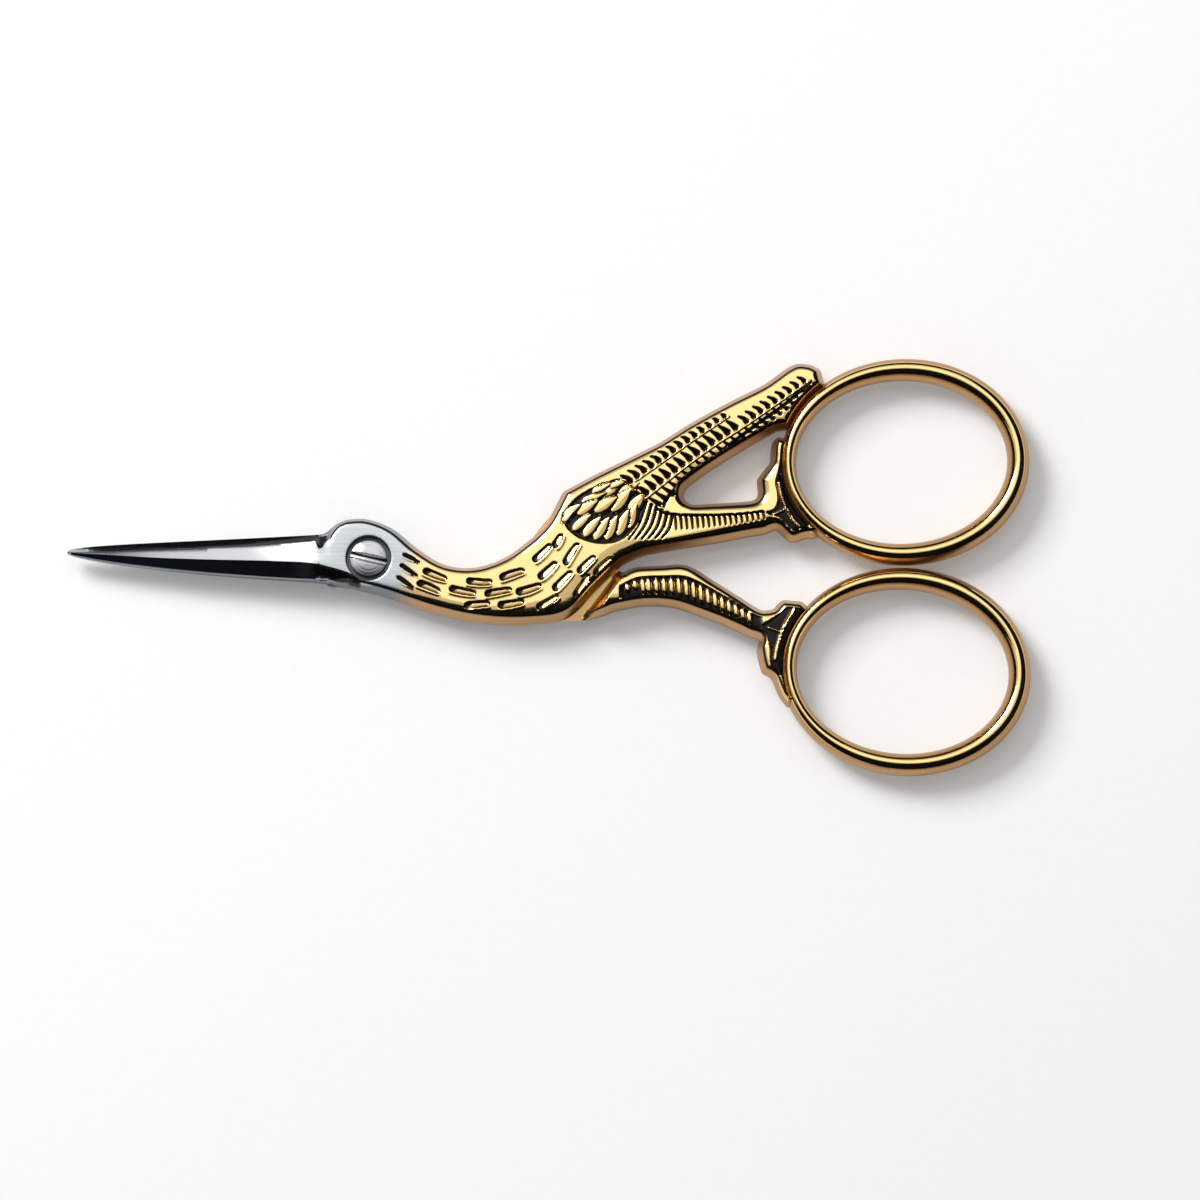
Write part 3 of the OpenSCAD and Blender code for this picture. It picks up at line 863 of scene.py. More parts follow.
    def collar(
        self, loop: Sequence[tuple], bar: Sequence[tuple], cross: Sequence[tuple], cross_width: float
    ) -> None:
        """Sinks a collar's ground, painted dark with shade, and leaves its grooved bar and its cross bar standing,
        wiped clear of the painted shade.

        Args:
            loop: The ground's corners.
            bar: The points of the bar.
            cross: The two ends of the cross bar.
            cross_width: The cross bar's width.
        """
        self.field(smooth_rows(loop, 6), 0.2)
        line = smooth_rows(bar, 8)
        self.cut(line, 0.62, -0.3, (0.8, 0.8), paint_shade=-1.0)
        self.cut(line, 0.12, 0.1)
        self.cut(cross, cross_width, -0.2, paint_shade=-1.0)


@dataclass(frozen=True)
class NeckMarks:
    """The feather marks down the neck and breast.

    Each place is a run along the neck from the pivot and a share across the face, from its
    upper edge to its lower edge. A few marks are short.
    """

    length: float = 2.45
    width: float = 0.72
    depth: float = 0.34
    edges: float = 1.3
    places: tuple = (
        (4.0, 0.76), (4.2, 0.48), (4.3, 0.19), (6.4, 0.62), (6.8, 0.26), (9.6, 0.51), (10.9, 0.8), (11.2, 0.27),
        (12.9, 0.52), (13.8, 0.78), (14.6, 0.25), (15.7, 0.58), (16.9, 0.84), (18.0, 0.44), (18.2, 0.2),
        (18.9, 0.68), (20.3, 0.27), (20.9, 0.53), (20.4, 0.93), (21.7, 0.78), (22.9, 0.95),
    )
    short: tuple = (16,)

    def strike(self, carver: Carver, last: float, jitter: int = 3) -> None:
        """Strikes the marks down the neck, slim near the screw and full further on.

        Args:
            carver: The face to strike.
            last: How far down the neck the marks go.
            jitter: The seed of their small unevenness.
        """
        rng = np.random.default_rng(jitter)
        line = smooth_rows(NECK[1:] + BREAST, 16)
        run = run_of(line[:, :2])
        for k, (place, share) in enumerate(self.places):
            if place > last:
                continue
            row = at_run(line, run, place + 0.3)
            ahead = at_run(line[:, :2], run, place + 0.9) - row[:2]
            spot = row[:2] + unit(row[3]) * (row[2] - self.edges) * (0.5 - share)
            lean = math.degrees(math.atan2(ahead[1], ahead[0])) + rng.uniform(-6, 6)
            young = float(smooth_step(np.array((place - 3.8) / 3.4)))
            length = self.length * (0.68 if k in self.short else 1.0)
            length = length * blend(0.84, 1.0, young) * rng.uniform(0.9, 1.08)
            width = self.width * blend(0.52, 1.0, young) * rng.uniform(0.92, 1.12)
            depth = self.depth * blend(0.75, 1.0, young)
            # Marks near the screw are painted dark with shade all over
            carver.punch(spot, lean, length, width, depth, rng.uniform(-0.05, 0.05), 1.0 - young)


@dataclass(frozen=True)
class WingWork:
    """The shoulder patch, the three feather rows and the front leg's barbs."""

    ridge_a: tuple = ((24.4, 6.92), (27.3, 9.0), (30.72, 11.46), (33.7, 13.49))
    ridge_b: tuple = ((25.93, 5.69), (28.93, 8.13), (32.2, 10.6), (35.48, 12.78), (41.32, 16.95))
    under_band: tuple = (
        (27.6, 4.95), (27.95, 5.7), (28.9, 6.7), (30.8, 8.3), (32.8, 9.95), (34.45, 11.27), (37.1, 13.26),
        (38.5, 14.25), (39.6, 15.15), (40.7, 16.1), (41.3, 16.65),
    )
    patch_low: tuple = (
        (17.95, 4.1), (18.4, 2.95), (19.4, 2.0), (20.6, 1.5), (21.8, 1.32), (23.2, 1.52), (24.45, 2.28),
        (25.3, 3.45), (25.85, 4.9), (25.9, 5.75),
    )
    patch_top: tuple = (
        (25.9, 5.75), (24.4, 6.95), (23.4, 7.55), (21.8, 7.05), (20.6, 6.6), (19.3, 5.7), (17.95, 4.1),
    )
    patch_depth: float = 0.26
    feathers: tuple = (
        (23.3, 5.75, 40, 2.5, 1.15), (21.6, 5.75, 30, 2.7, 1.1), (19.9, 5.3, 26, 2.4, 0.95),
        (24.4, 4.3, 58, 2.5, 1.15), (22.7, 4.4, 44, 2.8, 1.25), (21.1, 4.35, 36, 2.7, 1.2),
        (19.5, 4.1, 34, 2.5, 1.1), (18.2, 3.95, 40, 2.0, 0.9), (24.3, 2.8, 70, 2.5, 1.0),
        (23.3, 2.1, 64, 2.8, 1.05), (22.2, 1.7, 60, 2.8, 1.05), (21.1, 1.7, 57, 2.7, 1.05),
        (20.1, 2.0, 52, 2.6, 1.0), (19.1, 2.6, 46, 2.3, 0.95), (20.9, 6.3, 20, 2.2, 0.8),
        (22.6, 6.7, 25, 2.0, 0.8), (18.0, 3.3, 50, 1.5, 0.7),
    )
    feather_rise: float = 0.34
    tooth_steps: tuple = ((125, 0.3), (133, 0.42), (160, 0.62))
    bar_steps: tuple = ((125, 0.36), (138, 0.45), (150, 0.5))

    def carve(self, carver: Carver) -> None:
        """Carves the whole wing."""
        self.shoulder(carver)
        self.rows(carver)
        self.barbs(carver)

    def shoulder(self, carver: Carver) -> None:
        """Sinks the oval patch, painted dark with shade, and lays its overlapping feathers."""
        loop = np.vstack([smooth_rows(self.patch_low, 8)[:-1], smooth_rows(self.patch_top, 8)[:-1]])
        ids = np.nonzero(in_loop(carver.points, loop))[0]
        if not len(ids):
            return
        _, d = nearest(tree_of(eased(loop, 1)), carver.points[ids])
        base = carver.heights.copy()
        carver.heights[ids] -= self.patch_depth * smooth_step(d / 0.22)
        # Painted shade over the sunk patch, fading in from its rim
        carver.paint_shade(ids, smooth_step((d - 0.04) / 0.08))
        floor = base - self.patch_depth
        shown = carver.heights.copy()
        rng = np.random.default_rng(11)
        for x, y, lean, length, width in self.feathers:
            turned = lean + rng.uniform(-6, 6)
            carver.leaf((x, y), turned, length * rng.uniform(0.92, 1.06), width * 1.08, self.feather_rise, floor)
        rim = smooth_step(d / 0.14)
        carver.heights[ids] = blend(base[ids], np.where(d < 0.14, shown[ids], carver.heights[ids]), rim)

    def rows(self, carver: Carver) -> None:
        """Cuts the three rows of barred feathers along the wing."""
        a = smooth_rows(self.ridge_a, 10)
        b = smooth_rows(self.ridge_b, 10)
        for line, start, stop in ((a, 0.25, 12.4), (b[16:], 5.6, 30.0)):
            for s, spot in walk(line, start, 0.83, stop, 0.2):
                self.tick(carver, spot, self.tooth_steps, 0.68, 1.0 - 0.022 * s)
        for _, spot in walk(b, 0.3, 0.87, 10.8, 0.0):
            self.tick(carver, spot, self.bar_steps, 0.72, 1.0)
        self.rope(carver, b)
        carver.cut(a, 0.3, -0.08, paint_shade=-1.0)
        carver.cut(b, 0.34, -0.08, paint_shade=-1.0)

    @staticmethod
    def tick(carver: Carver, spot: Points, steps: Sequence[tuple], width: float, size: float) -> None:
        """Cuts one bent tick, painted dark with shade, on the upper side of a ridge.

        Args:
            carver: The face to cut.
            spot: The spot on the ridge from which the tick is stepped off.
            steps: Rows of lean and reach. The first leads to the tick's root.
            width: The width at its root.
            size: What its lengths are multiplied by.
        """
        line = []
        for lean, reach in steps:
            spot = spot + unit(lean) * reach * size
            line.append(spot)
        carver.cut(line, width * size, 0.36, (1.0, 0.35), paint_shade=1.0)

    def rope(self, carver: Carver, b: Points) -> None:
        """Cuts the twisted feather ends under the lower ridge, and the band below them, both painted dark with shade.
        """
        for s, spot in walk(b, 0.3, 0.8, math.inf, 0.4):
            size = float(np.interp(s, [0, 5, 10, 19], [1.0, 0.95, 0.66, 0.6]))
            root = spot + unit(-60) * 0.26
            end = root + unit(-32) * (0.95 * size + 0.15)
            carver.cut([root, end], 0.56 * (0.6 + 0.4 * size), 0.3, (0.4, 1.0), paint_shade=1.0)
        carver.cut(smooth_rows(self.under_band, 8), 0.5, 0.2, (0.9, 0.8), paint_shade=1.0)

    def barbs(self, carver: Carver) -> None:
        """Cuts the long curved barbs, the short ribs and the collar of the front leg, with shade painted into their
        grooves.
        """
        top = smooth_rows([(26.9, 4.9), (27.5, 4.35), (29.0, 4.12), (31.5, 4.1), (34.3, 4.2), (36.9, 4.5)], 8)
        carver.cut(top, 0.26, 0.18, paint_shade=0.9)
        for i in range(6):
            head = np.array([25.95 + 0.49 * i, 5.3 - 0.25 * i])
            foot = np.array([24.35 + 0.62 * i, 1.8 + 0.03 * i])
            bend = blend(head, foot, 0.55) + np.array([0.24, -0.09])
            carver.cut(smooth_rows([head, bend, foot], 6), 0.4, 0.28, (1.0, 0.6), paint_shade=1.0)
        for i in range(17):
            x = 28.65 + 0.515 * i
            y_top = float(np.interp(x, top[:, 0], top[:, 1])) - 0.05
            length = float(np.interp(x, [28.7, 31, 34.3, 37.2], [1.4, 1.15, 0.85, 0.6]))
            carver.cut([(x, y_top), (x + 0.12, y_top - length)], 0.29, 0.24, (1.1, 0.55), paint_shade=1.0)
        carver.collar(
            [
                (37.0, 4.45), (37.55, 4.55), (38.0, 4.85), (38.25, 5.5), (38.2, 6.4), (38.05, 7.3), (38.4, 8.2),
                (38.85, 7.4), (39.25, 6.4), (39.8, 5.2), (40.5, 4.1), (41.2, 3.2), (40.9, 2.6), (40.1, 2.35),
                (39.3, 3.0), (38.4, 3.9), (37.6, 4.1), (37.0, 4.45),
            ],
            [(38.4, 7.2), (38.6, 6.0), (39.0, 4.9), (39.7, 3.7), (40.4, 2.95)],
            [(37.9, 4.25), (38.9, 4.7)], 0.36,
        )
        low = [(35.0, 2.35), (36.6, 2.75), (37.6, 2.95), (38.6, 2.2), (39.5, 1.35), (40.2, 0.95), (40.9, 1.3)]
        carver.cut(smooth_rows(low, 8), 0.62, 0.14, (0.3, 1.0), paint_shade=1.0)


@dataclass(frozen=True)
class BackLegWork:
    """The spindle ribs, borders and collar marks of the back leg, between its two edge lines."""

    top: tuple = (
        (23.6, -2.5), (24.6, -1.95), (25.6, -1.7), (27.5, -1.62), (29.4, -1.62), (30.8, -2.1), (32.6, -3.1),
        (34.5, -4.15), (36.7, -5.3),
    )
    low: tuple = (
        (23.2, -4.2), (24.6, -3.85), (26.5, -3.7), (28.6, -3.85), (30.6, -4.45), (32.6, -5.2), (34.5, -5.95),
        (36.3, -6.85),
    )

    def carve(self, carver: Carver) -> None:
        """Sinks the field of the leg, painted dark with shade between the ribs, and leaves its ribs standing."""
        p = carver.points
        top_line, low_line = smooth_rows(self.top, 8), smooth_rows(self.low, 8)
        y_top = np.interp(p[:, 0], top_line[:, 0], top_line[:, 1])
        y_low = np.interp(p[:, 0], low_line[:, 0], low_line[:, 1])
        share = (y_top - p[:, 1]) / (y_top - y_low)
        ends = smooth_step((p[:, 0] - 23.3) / 0.6) * smooth_step((37.0 - p[:, 0]) / 0.5)
        field_mask = smooth_step(share / 0.1) * smooth_step((1.16 - share) / 0.2) * ends
        spindles = np.zeros(len(p))
        for i in range(18):
            x = 24.0 + 0.742 * i + (0.18 if i < 3 else 0) - 0.0035 * i * i
            t = float(np.interp(x, top_line[:, 0], top_line[:, 1]))
            b = float(np.interp(x, low_line[:, 0], low_line[:, 1]))
            high = t - 0.1 * (t - b)
            low = t - (0.86 if i > 1 else 0.6) * (t - b)
            middle = (high + low) / 2
            half = (high - low) / 2
            q = np.sqrt(((p[:, 0] - x - 0.06 * (middle - p[:, 1])) / 0.29) ** 2 + ((p[:, 1] - middle) / half) ** 2)
            spindles = np.maximum(spindles, np.clip(1 - q * q, 0, 1) ** 0.3)
        carver.heights += field_mask * (-0.22 + 0.24 * spindles)
        ids = np.arange(len(p))
        # Painted shade over the sunk field, cleared on the ribs
        carver.paint_shade(ids, smooth_step((field_mask - 0.3) / 0.5) * (1 - smooth_step((spindles - 0.1) / 0.35)))
        carver.collar(
            [
                (36.7, -6.2), (37.45, -5.75), (38.3, -5.15), (39.3, -4.35), (40.3, -4.0), (41.6, -3.9),
                (40.5, -5.1), (39.75, -6.3), (39.2, -7.6), (38.95, -8.9), (38.95, -10.8), (38.35, -11.0),
                (37.75, -10.7), (37.5, -9.6), (37.45, -8.4), (37.2, -7.6), (36.8, -7.15), (36.7, -6.2),
            ],
            [(39.75, -4.75), (38.95, -6.1), (38.45, -7.3), (38.1, -8.6), (37.95, -9.5)],
            [(37.35, -6.5), (38.35, -6.85)], 0.34,
        )


def in_loop(points: Points, loop: Points) -> np.ndarray:
    """Tells which points lie inside a closed loop."""
    inside = np.zeros(len(points), dtype=bool)
    x, y = points[:, 0], points[:, 1]
    for (ax, ay), (bx, by) in zip(loop, np.roll(loop, -1, 0)):
        if ay == by:
            continue
        crosses = (ay > y) != (by > y)
        inside ^= crosses & (x < (bx - ax) * (y - ay) / (by - ay) + ax)
    return inside


def from_loop(points: Points, loop: Points) -> tuple[Points, Points]:
    """Returns each point's signed distance inside a loop and its nearest loop point."""
    ids, _ = nearest(tree_of(loop), points)
    best = np.full(len(points), 1e9)
    for shift in (-1, 0):
        start = (ids + shift) % len(loop)
        a = loop[start]
        b = loop[(start + 1) % len(loop)]
        ab = b - a
        t = np.sum((points - a) * ab, axis=1) / np.maximum(np.sum(ab * ab, axis=1), 1e-12)
        held = np.clip(t, 0, 1)
        rel = points - a - held[:, None] * ab
        d = np.linalg.norm(rel, axis=1)
        best = np.minimum(best, d)
    return np.where(in_loop(points, loop), best, -best), ids


def hex_points(low: Points, high: Points, gap: float) -> Points:
    """Fills a box with an even pattern of points."""
    nx = int((high[0] - low[0]) / gap) + 2
    ny = int((high[1] - low[1]) / (gap * 0.866)) + 2
    i, j = np.meshgrid(np.arange(nx), np.arange(ny))
    x = low[0] + (i + 0.5 * (j % 2)) * gap
    y = low[1] + j * gap * 0.866
    return np.stack([x.ravel(), y.ravel()], axis=1)


@dataclass
class Face:
    """One filled face of a half: its flat points and its triangles."""

    points: Points
    triangles: np.ndarray
    distances: Points


def scatter(rim: Points, fixed: Points, clear: float, zones: Sequence[tuple]) -> list[Points]:
    """Spreads points over the inside of a rim, finer in the engraved zones.

    Args:
        rim: The closed loop.
        fixed: The points that are there already.
        clear: The radius kept clear round the pivot.
        zones: Rows of test and spacing, the finest first. The last has the test None.

    Returns:
        The points of each zone.
    """
    taken = []
    low, high = rim.min(0), rim.max(0)
    rough = hex_points(low, high, CELL)
    d, _ = from_loop(rough, rim)
    cells = {(int(x / CELL), int(y / CELL)) for x, y in (rough[d > -0.9 * CELL] - low)}
    tree = tree_of(fixed)
    for k, (test, gap) in enumerate(zones):
        cloud = hex_points(low, high, gap)
        cell = ((cloud - low) / CELL).astype(int)
        cloud = cloud[np.array([(int(a), int(b)) in cells for a, b in cell])]
        mask = np.ones(len(cloud), dtype=bool)
        for other, _ in zones[:k]:
            mask &= ~other(cloud)
        if test is not None:
            mask &= test(cloud)
        cloud = cloud[mask]
        if not len(cloud):
            continue
        d, _ = from_loop(cloud, rim)
        _, near = nearest(tree, cloud)
        away = np.linalg.norm(cloud, axis=1) > clear + 0.4 * gap
        taken.append(cloud[(d > 0.3 * gap) & (near > 0.55 * min(gap, 0.14)) & away])
    return taken


def triangulate(points: Points, edges: Sequence[tuple]) -> tuple[Points, np.ndarray]:
    """Returns the points, followed by those that crossing edges add, and their triangles."""
    verts, _, tris, origin, *_ = delaunay_2d_cdt([Vector(p) for p in points], edges, [], 0, 1e-6, True)
    out = np.array([(v.x, v.y) for v in verts])
    remap = np.array([ids[0] if ids else -1 for ids in origin])
    added = np.nonzero(remap < 0)[0]
    remap[added] = len(points) + np.arange(len(added))
    return np.vstack([points, out[added]]), remap[np.array([tuple(f) for f in tris])]


def fill_face(
    rim: Points, offset: Points, hole_r: float, hole_n: int, zones: Sequence[tuple], lines: Sequence[Points]
) -> Face:
    """Fills the inside of a rim with triangles, finer in the engraved zones.

    Args:
        rim: The closed loop, metal on the left.
        offset: The rim's distances from the outline.
        hole_r: The radius of the round hole at the pivot.
        hole_n: The number of points round the hole.
        zones: Rows of test and spacing, the finest first. The last has the test None.
        lines: Creases that the triangles follow.

    Returns:
        The filled face. Rim points come first, then the hole's.
    """
    n, m = len(rim), hole_n
    extra = []
    for line in lines:
        d, _ = from_loop(line, rim)
        extra.append(line[(d > 0.05) & (np.linalg.norm(line, axis=1) > hole_r + 0.16)])
    circle = circle_points(m)
    fixed = np.vstack([rim] + [circle * (hole_r + room) for room in HOLE_ROWS] + extra)
    edges = [(i, (i + 1) % n) for i in range(n)]
    edges += [(n + i, n + (i + 1) % m) for i in range(m)]
    start = n + len(HOLE_ROWS) * m
    for line in extra:
        steps = np.linalg.norm(np.diff(line, axis=0), axis=1)
        edges += [(start + i, start + i + 1) for i, step in enumerate(steps) if step < 0.6]
        start += len(line)
    points = np.vstack([fixed] + scatter(rim, fixed, hole_r + HOLE_ROWS[-1], zones))
    grown, t = triangulate(points, edges)
    middle = grown[t].mean(axis=1)
    keep = ~np.all((t >= n) & (t < n + m), axis=1) & (np.linalg.norm(middle, axis=1) > hole_r * 0.9)
    doubtful = np.nonzero(np.sum(t < n, axis=1) >= 2)[0]
    keep[doubtful] &= in_loop(middle[doubtful], rim)
    t = t[keep]
    a, b, c = grown[t[:, 0]], grown[t[:, 1]], grown[t[:, 2]]
    area = (b[:, 0] - a[:, 0]) * (c[:, 1] - a[:, 1]) - (b[:, 1] - a[:, 1]) * (c[:, 0] - a[:, 0])
    t[area < 0] = t[area < 0][:, ::-1]
    t = t[np.abs(area) > 1e-9]
    d, ids = from_loop(grown, rim)
    distances = np.maximum(d, 0.0) + offset[ids]
    distances[:n] = offset
    log.info("face filled: %d points, %d triangles", len(grown), len(t))
    return Face(grown, t, distances)


# Finishes


FLOAT = "NodeSocketFloat"
VECTOR = "NodeSocketVector"
Socket = bpy.types.NodeSocket
Group = bpy.types.NodeTree


def rgba(color: Sequence[float], share: float = 1.0) -> tuple:
    """Returns an opaque colour, darkened to a share."""
    return (*[c * share for c in color], 1)


class NodeDesk:
    """Places nodes in a tree and joins them."""

    def __init__(self, tree: bpy.types.NodeTree) -> None:
        """Starts on a tree."""
        self.tree = tree

    def add(self, kind: str) -> bpy.types.Node:
        """Adds a node."""
        return self.tree.nodes.new(kind)

    def join(self, a: Socket, b: Socket) -> None:
        """Joins an output to an input."""
        self.tree.links.new(a, b)

    def feed(self, value: object, socket: Socket) -> None:
        """Joins a socket to an input, or sets the input to a value."""
        if isinstance(value, Socket):
            self.join(value, socket)
        else:
            socket.default_value = value

    def math(self, operation: str, *values: object, clamp: bool = False) -> Socket:
        """Adds a math node whose inputs are numbers or sockets."""
        node = self.add("ShaderNodeMath")
        node.operation = operation
        node.use_clamp = clamp
        for value, socket in zip(values, node.inputs):
            self.feed(value, socket)
        return node.outputs[0]

    def times(self, a: object, b: object) -> Socket:
        """Multiplies two numbers or sockets."""
        return self.math("MULTIPLY", a, b)

    def plus(self, a: object, b: object) -> Socket:
        """Adds two numbers or sockets."""
        return self.math("ADD", a, b)

    def minus(self, a: object, b: object) -> Socket:
        """Takes one number or socket from another."""
        return self.math("SUBTRACT", a, b)

    def mix_color(self, share: object, a: object, b: object) -> Socket:
        """Mixes two colours by a share."""
        node = self.add("ShaderNodeMix")
        node.data_type = "RGBA"
        for place, value in ((0, share), (6, a), (7, b)):
            self.feed(value, node.inputs[place])
        return node.outputs[2]

    def noise(self, vector: Socket, scale: float, detail: float = 2.0, stretch: tuple = (1, 1, 1)) -> Socket:
        """Adds a noise over stretched coordinates and returns its value."""
        place = self.add("ShaderNodeMapping")
        self.feed(stretch, place.inputs["Scale"])
        self.join(vector, place.inputs["Vector"])
        node = self.add("ShaderNodeTexNoise")
        self.feed(scale, node.inputs["Scale"])
        self.feed(detail, node.inputs["Detail"])
        self.join(place.outputs[0], node.inputs["Vector"])
        return node.outputs["Fac"]

    def group(self, tree: Group, **values: object) -> bpy.types.NodeOutputs:
        """Adds a node group, feeds its inputs by name and returns its outputs."""
        node = self.add("ShaderNodeGroup")
        node.node_tree = tree
        for label, value in values.items():
            self.feed(value, node.inputs[label])
        return node.outputs

    def bump(self, height: Socket, strength: float, distance: float) -> Socket:
        """Adds a bump, its distance in metres, and returns its normal."""
        node = self.add("ShaderNodeBump")
        self.feed(strength, node.inputs["Strength"])
        self.feed(distance, node.inputs["Distance"])
        self.join(height, node.inputs["Height"])
        return node.outputs[0]


class GroupDesk(NodeDesk):
    """A new node group with its sockets."""

    def __init__(self, name: str, ins: dict[str, float | None], outs: Sequence[str]) -> None:
        """Makes the group.

        Args:
            name: The group's name.
            ins: The inputs by name. Numbers are defaults, and None makes a vector.
            outs: The names of the outputs, which are all numbers.
        """
        super().__init__(bpy.data.node_groups.new(name, "ShaderNodeTree"))
        face = self.tree.interface
        for label, value in ins.items():
            kind = VECTOR if value is None else FLOAT
            socket = face.new_socket(name=label, in_out="INPUT", socket_type=kind)
            if value is not None:
                socket.default_value = value
        for label in outs:
            face.new_socket(name=label, in_out="OUTPUT", socket_type=FLOAT)
        self.ins = self.add("NodeGroupInput").outputs
        self.outs = self.add("NodeGroupOutput").inputs


class SurfaceDesk(NodeDesk):
    """A new material, with its surface and its coordinates."""

    def __init__(self, name: str) -> None:
        """Makes the material, empty but for its output."""
        self.material = bpy.data.materials.new(name)
        self.material.use_nodes = True
        self.material.node_tree.nodes.clear()
        super().__init__(self.material.node_tree)
        self.surface = self.add("ShaderNodeOutputMaterial").inputs["Surface"]

    @cached_property
    def coords(self) -> Socket:
        """Adds the piece's own coordinates, at their first use."""
        return self.add("ShaderNodeTexCoord").outputs["Object"]

    def metal(self) -> bpy.types.NodeInputs:
        """Adds a metallic shader and returns its inputs."""
        shader = self.add("ShaderNodeBsdfPrincipled")
        self.feed(1.0, shader.inputs["Metallic"])
        self.join(shader.outputs[0], self.surface)
        return shader.inputs


class SharedEffects:
    """The node groups that several finishes use."""

    def __init__(self) -> None:
        """Builds each group once."""
        self.plating = self.build_plating()
        self.brush = self.build_brush()
        self.handling = self.build_handling()
        self.recess = self.build_recess()

    @staticmethod
    def build_plating() -> Group:
        """Builds the mask of the gilding, which fades in behind the screw."""
        desk = GroupDesk("gilding_edge", {"Vector": None, "Start": 0.003, "Width": 0.003}, ["Mask"])
        split = desk.add("ShaderNodeSeparateXYZ")
        desk.join(desk.ins["Vector"], split.inputs[0])
        wander = desk.times(desk.minus(desk.noise(desk.ins["Vector"], 420.0), 0.5), 0.0018)
        lean = desk.times(split.outputs["Y"], -0.18)
        along = desk.plus(desk.plus(split.outputs["X"], wander), lean)
        share = desk.math("DIVIDE", desk.minus(along, desk.ins["Start"]), desk.ins["Width"], clamp=True)
        desk.join(desk.times(share, desk.minus(2.0, share)), desk.outs["Mask"])
        return desk.tree

    @staticmethod
    def build_brush() -> Group:
        """Builds fine grinding lines along a direction."""
        desk = GroupDesk("grinding_lines", {"Vector": None, "Strength": 1.0}, ["Height", "Tone"])
        fine = desk.noise(desk.ins["Vector"], 900.0, 2.0, (0.09, 5.0, 1.0))
        broad = desk.noise(desk.ins["Vector"], 260.0, 2.0, (0.16, 4.0, 1.0))
        both = desk.plus(desk.times(fine, 0.6), desk.times(broad, 0.4))
        desk.join(desk.times(both, desk.ins["Strength"]), desk.outs["Height"])
        desk.join(both, desk.outs["Tone"])
        return desk.tree

    @staticmethod
    def build_handling() -> Group:
        """Builds faint smudges and hairline scratches from handling."""
        desk = GroupDesk("handling_wear", {"Vector": None}, ["Smudge", "Scratch"])
        desk.join(desk.noise(desk.ins["Vector"], 160.0, 3.0), desk.outs["Smudge"])
        a = desk.noise(desk.ins["Vector"], 700.0, 1.0, (0.12, 3.2, 1.0))
        b = desk.noise(desk.ins["Vector"], 600.0, 1.0, (2.6, 0.3, 1.0))
        desk.join(desk.times(a, b), desk.outs["Scratch"])
        return desk.tree

    @staticmethod
    def build_recess() -> Group:
        """Builds the broken-up mask of the shade painted into the recesses."""
        desk = GroupDesk("recess_painted_shade", {"Vector": None, "Depth": 0.0}, ["Mask"])
        lift = desk.times(desk.minus(desk.noise(desk.ins["Vector"], 5200.0), 0.5), 0.5)
        worn = desk.plus(desk.ins["Depth"], desk.times(lift, desk.ins["Depth"]))
        desk.join(desk.math("MULTIPLY", worn, 1.15, clamp=True), desk.outs["Mask"])
        return desk.tree


@dataclass(frozen=True)
class MetalFinish:
    """A gilt or bright steel finish for one kind of surface.

    Start and width place the gilding's edge behind the screw, in metres.
    """

    name: str
    gold: tuple
    steel: tuple
    gold_rough: float
    steel_rough: float
    bump: float
    brush: float
    start: float = 0.0028
    width: float = 0.0034

    def build(self, effects: SharedEffects) -> bpy.types.Material:
        """Builds the material.

        Args:
            effects: The shared node groups.

        Returns:
            The finished material.
        """
        desk = SurfaceDesk(self.name)
        shader = desk.metal()
        mask = desk.group(effects.plating, Vector=desk.coords, Start=self.start, Width=self.width)["Mask"]
        brush = desk.group(effects.brush, Vector=desk.coords)
        wear = desk.group(effects.handling, Vector=desk.coords)
        gold = desk.mix_color(desk.times(wear["Smudge"], 0.35), rgba(self.gold), rgba(self.gold, 0.86))
        tone = desk.math("MULTIPLY", desk.minus(brush["Tone"], 0.3), 0.9, clamp=True)
        steel = desk.mix_color(tone, rgba(self.steel, 0.84), rgba(self.steel))
        # The painted shade stored on the points darkens the base colour towards near black and roughens it
        depth = desk.add("ShaderNodeAttribute")
        depth.attribute_name = "painted_shade"
        dark = desk.group(effects.recess, Vector=desk.coords, Depth=depth.outputs["Fac"])["Mask"]
        base = desk.mix_color(mask, steel, gold)
        desk.join(desk.mix_color(dark, base, PAINTED_SHADE_COLOR), shader["Base Color"])
        steel_rough = desk.plus(desk.times(brush["Tone"], 0.1), self.steel_rough - 0.05)
        gold_rough = desk.plus(desk.times(wear["Smudge"], 0.07), self.gold_rough - 0.03)
        mixed = desk.plus(steel_rough, desk.times(mask, desk.minus(gold_rough, steel_rough)))
        desk.join(desk.plus(mixed, desk.times(dark, desk.minus(0.42, mixed))), shader["Roughness"])
        lines = desk.times(brush["Height"], desk.times(desk.minus(1.0, mask), self.brush))
        grain = desk.times(wear["Scratch"], self.bump)
        desk.join(desk.bump(desk.plus(lines, grain), 0.35, 0.00004), shader["Normal"])
        return desk.material


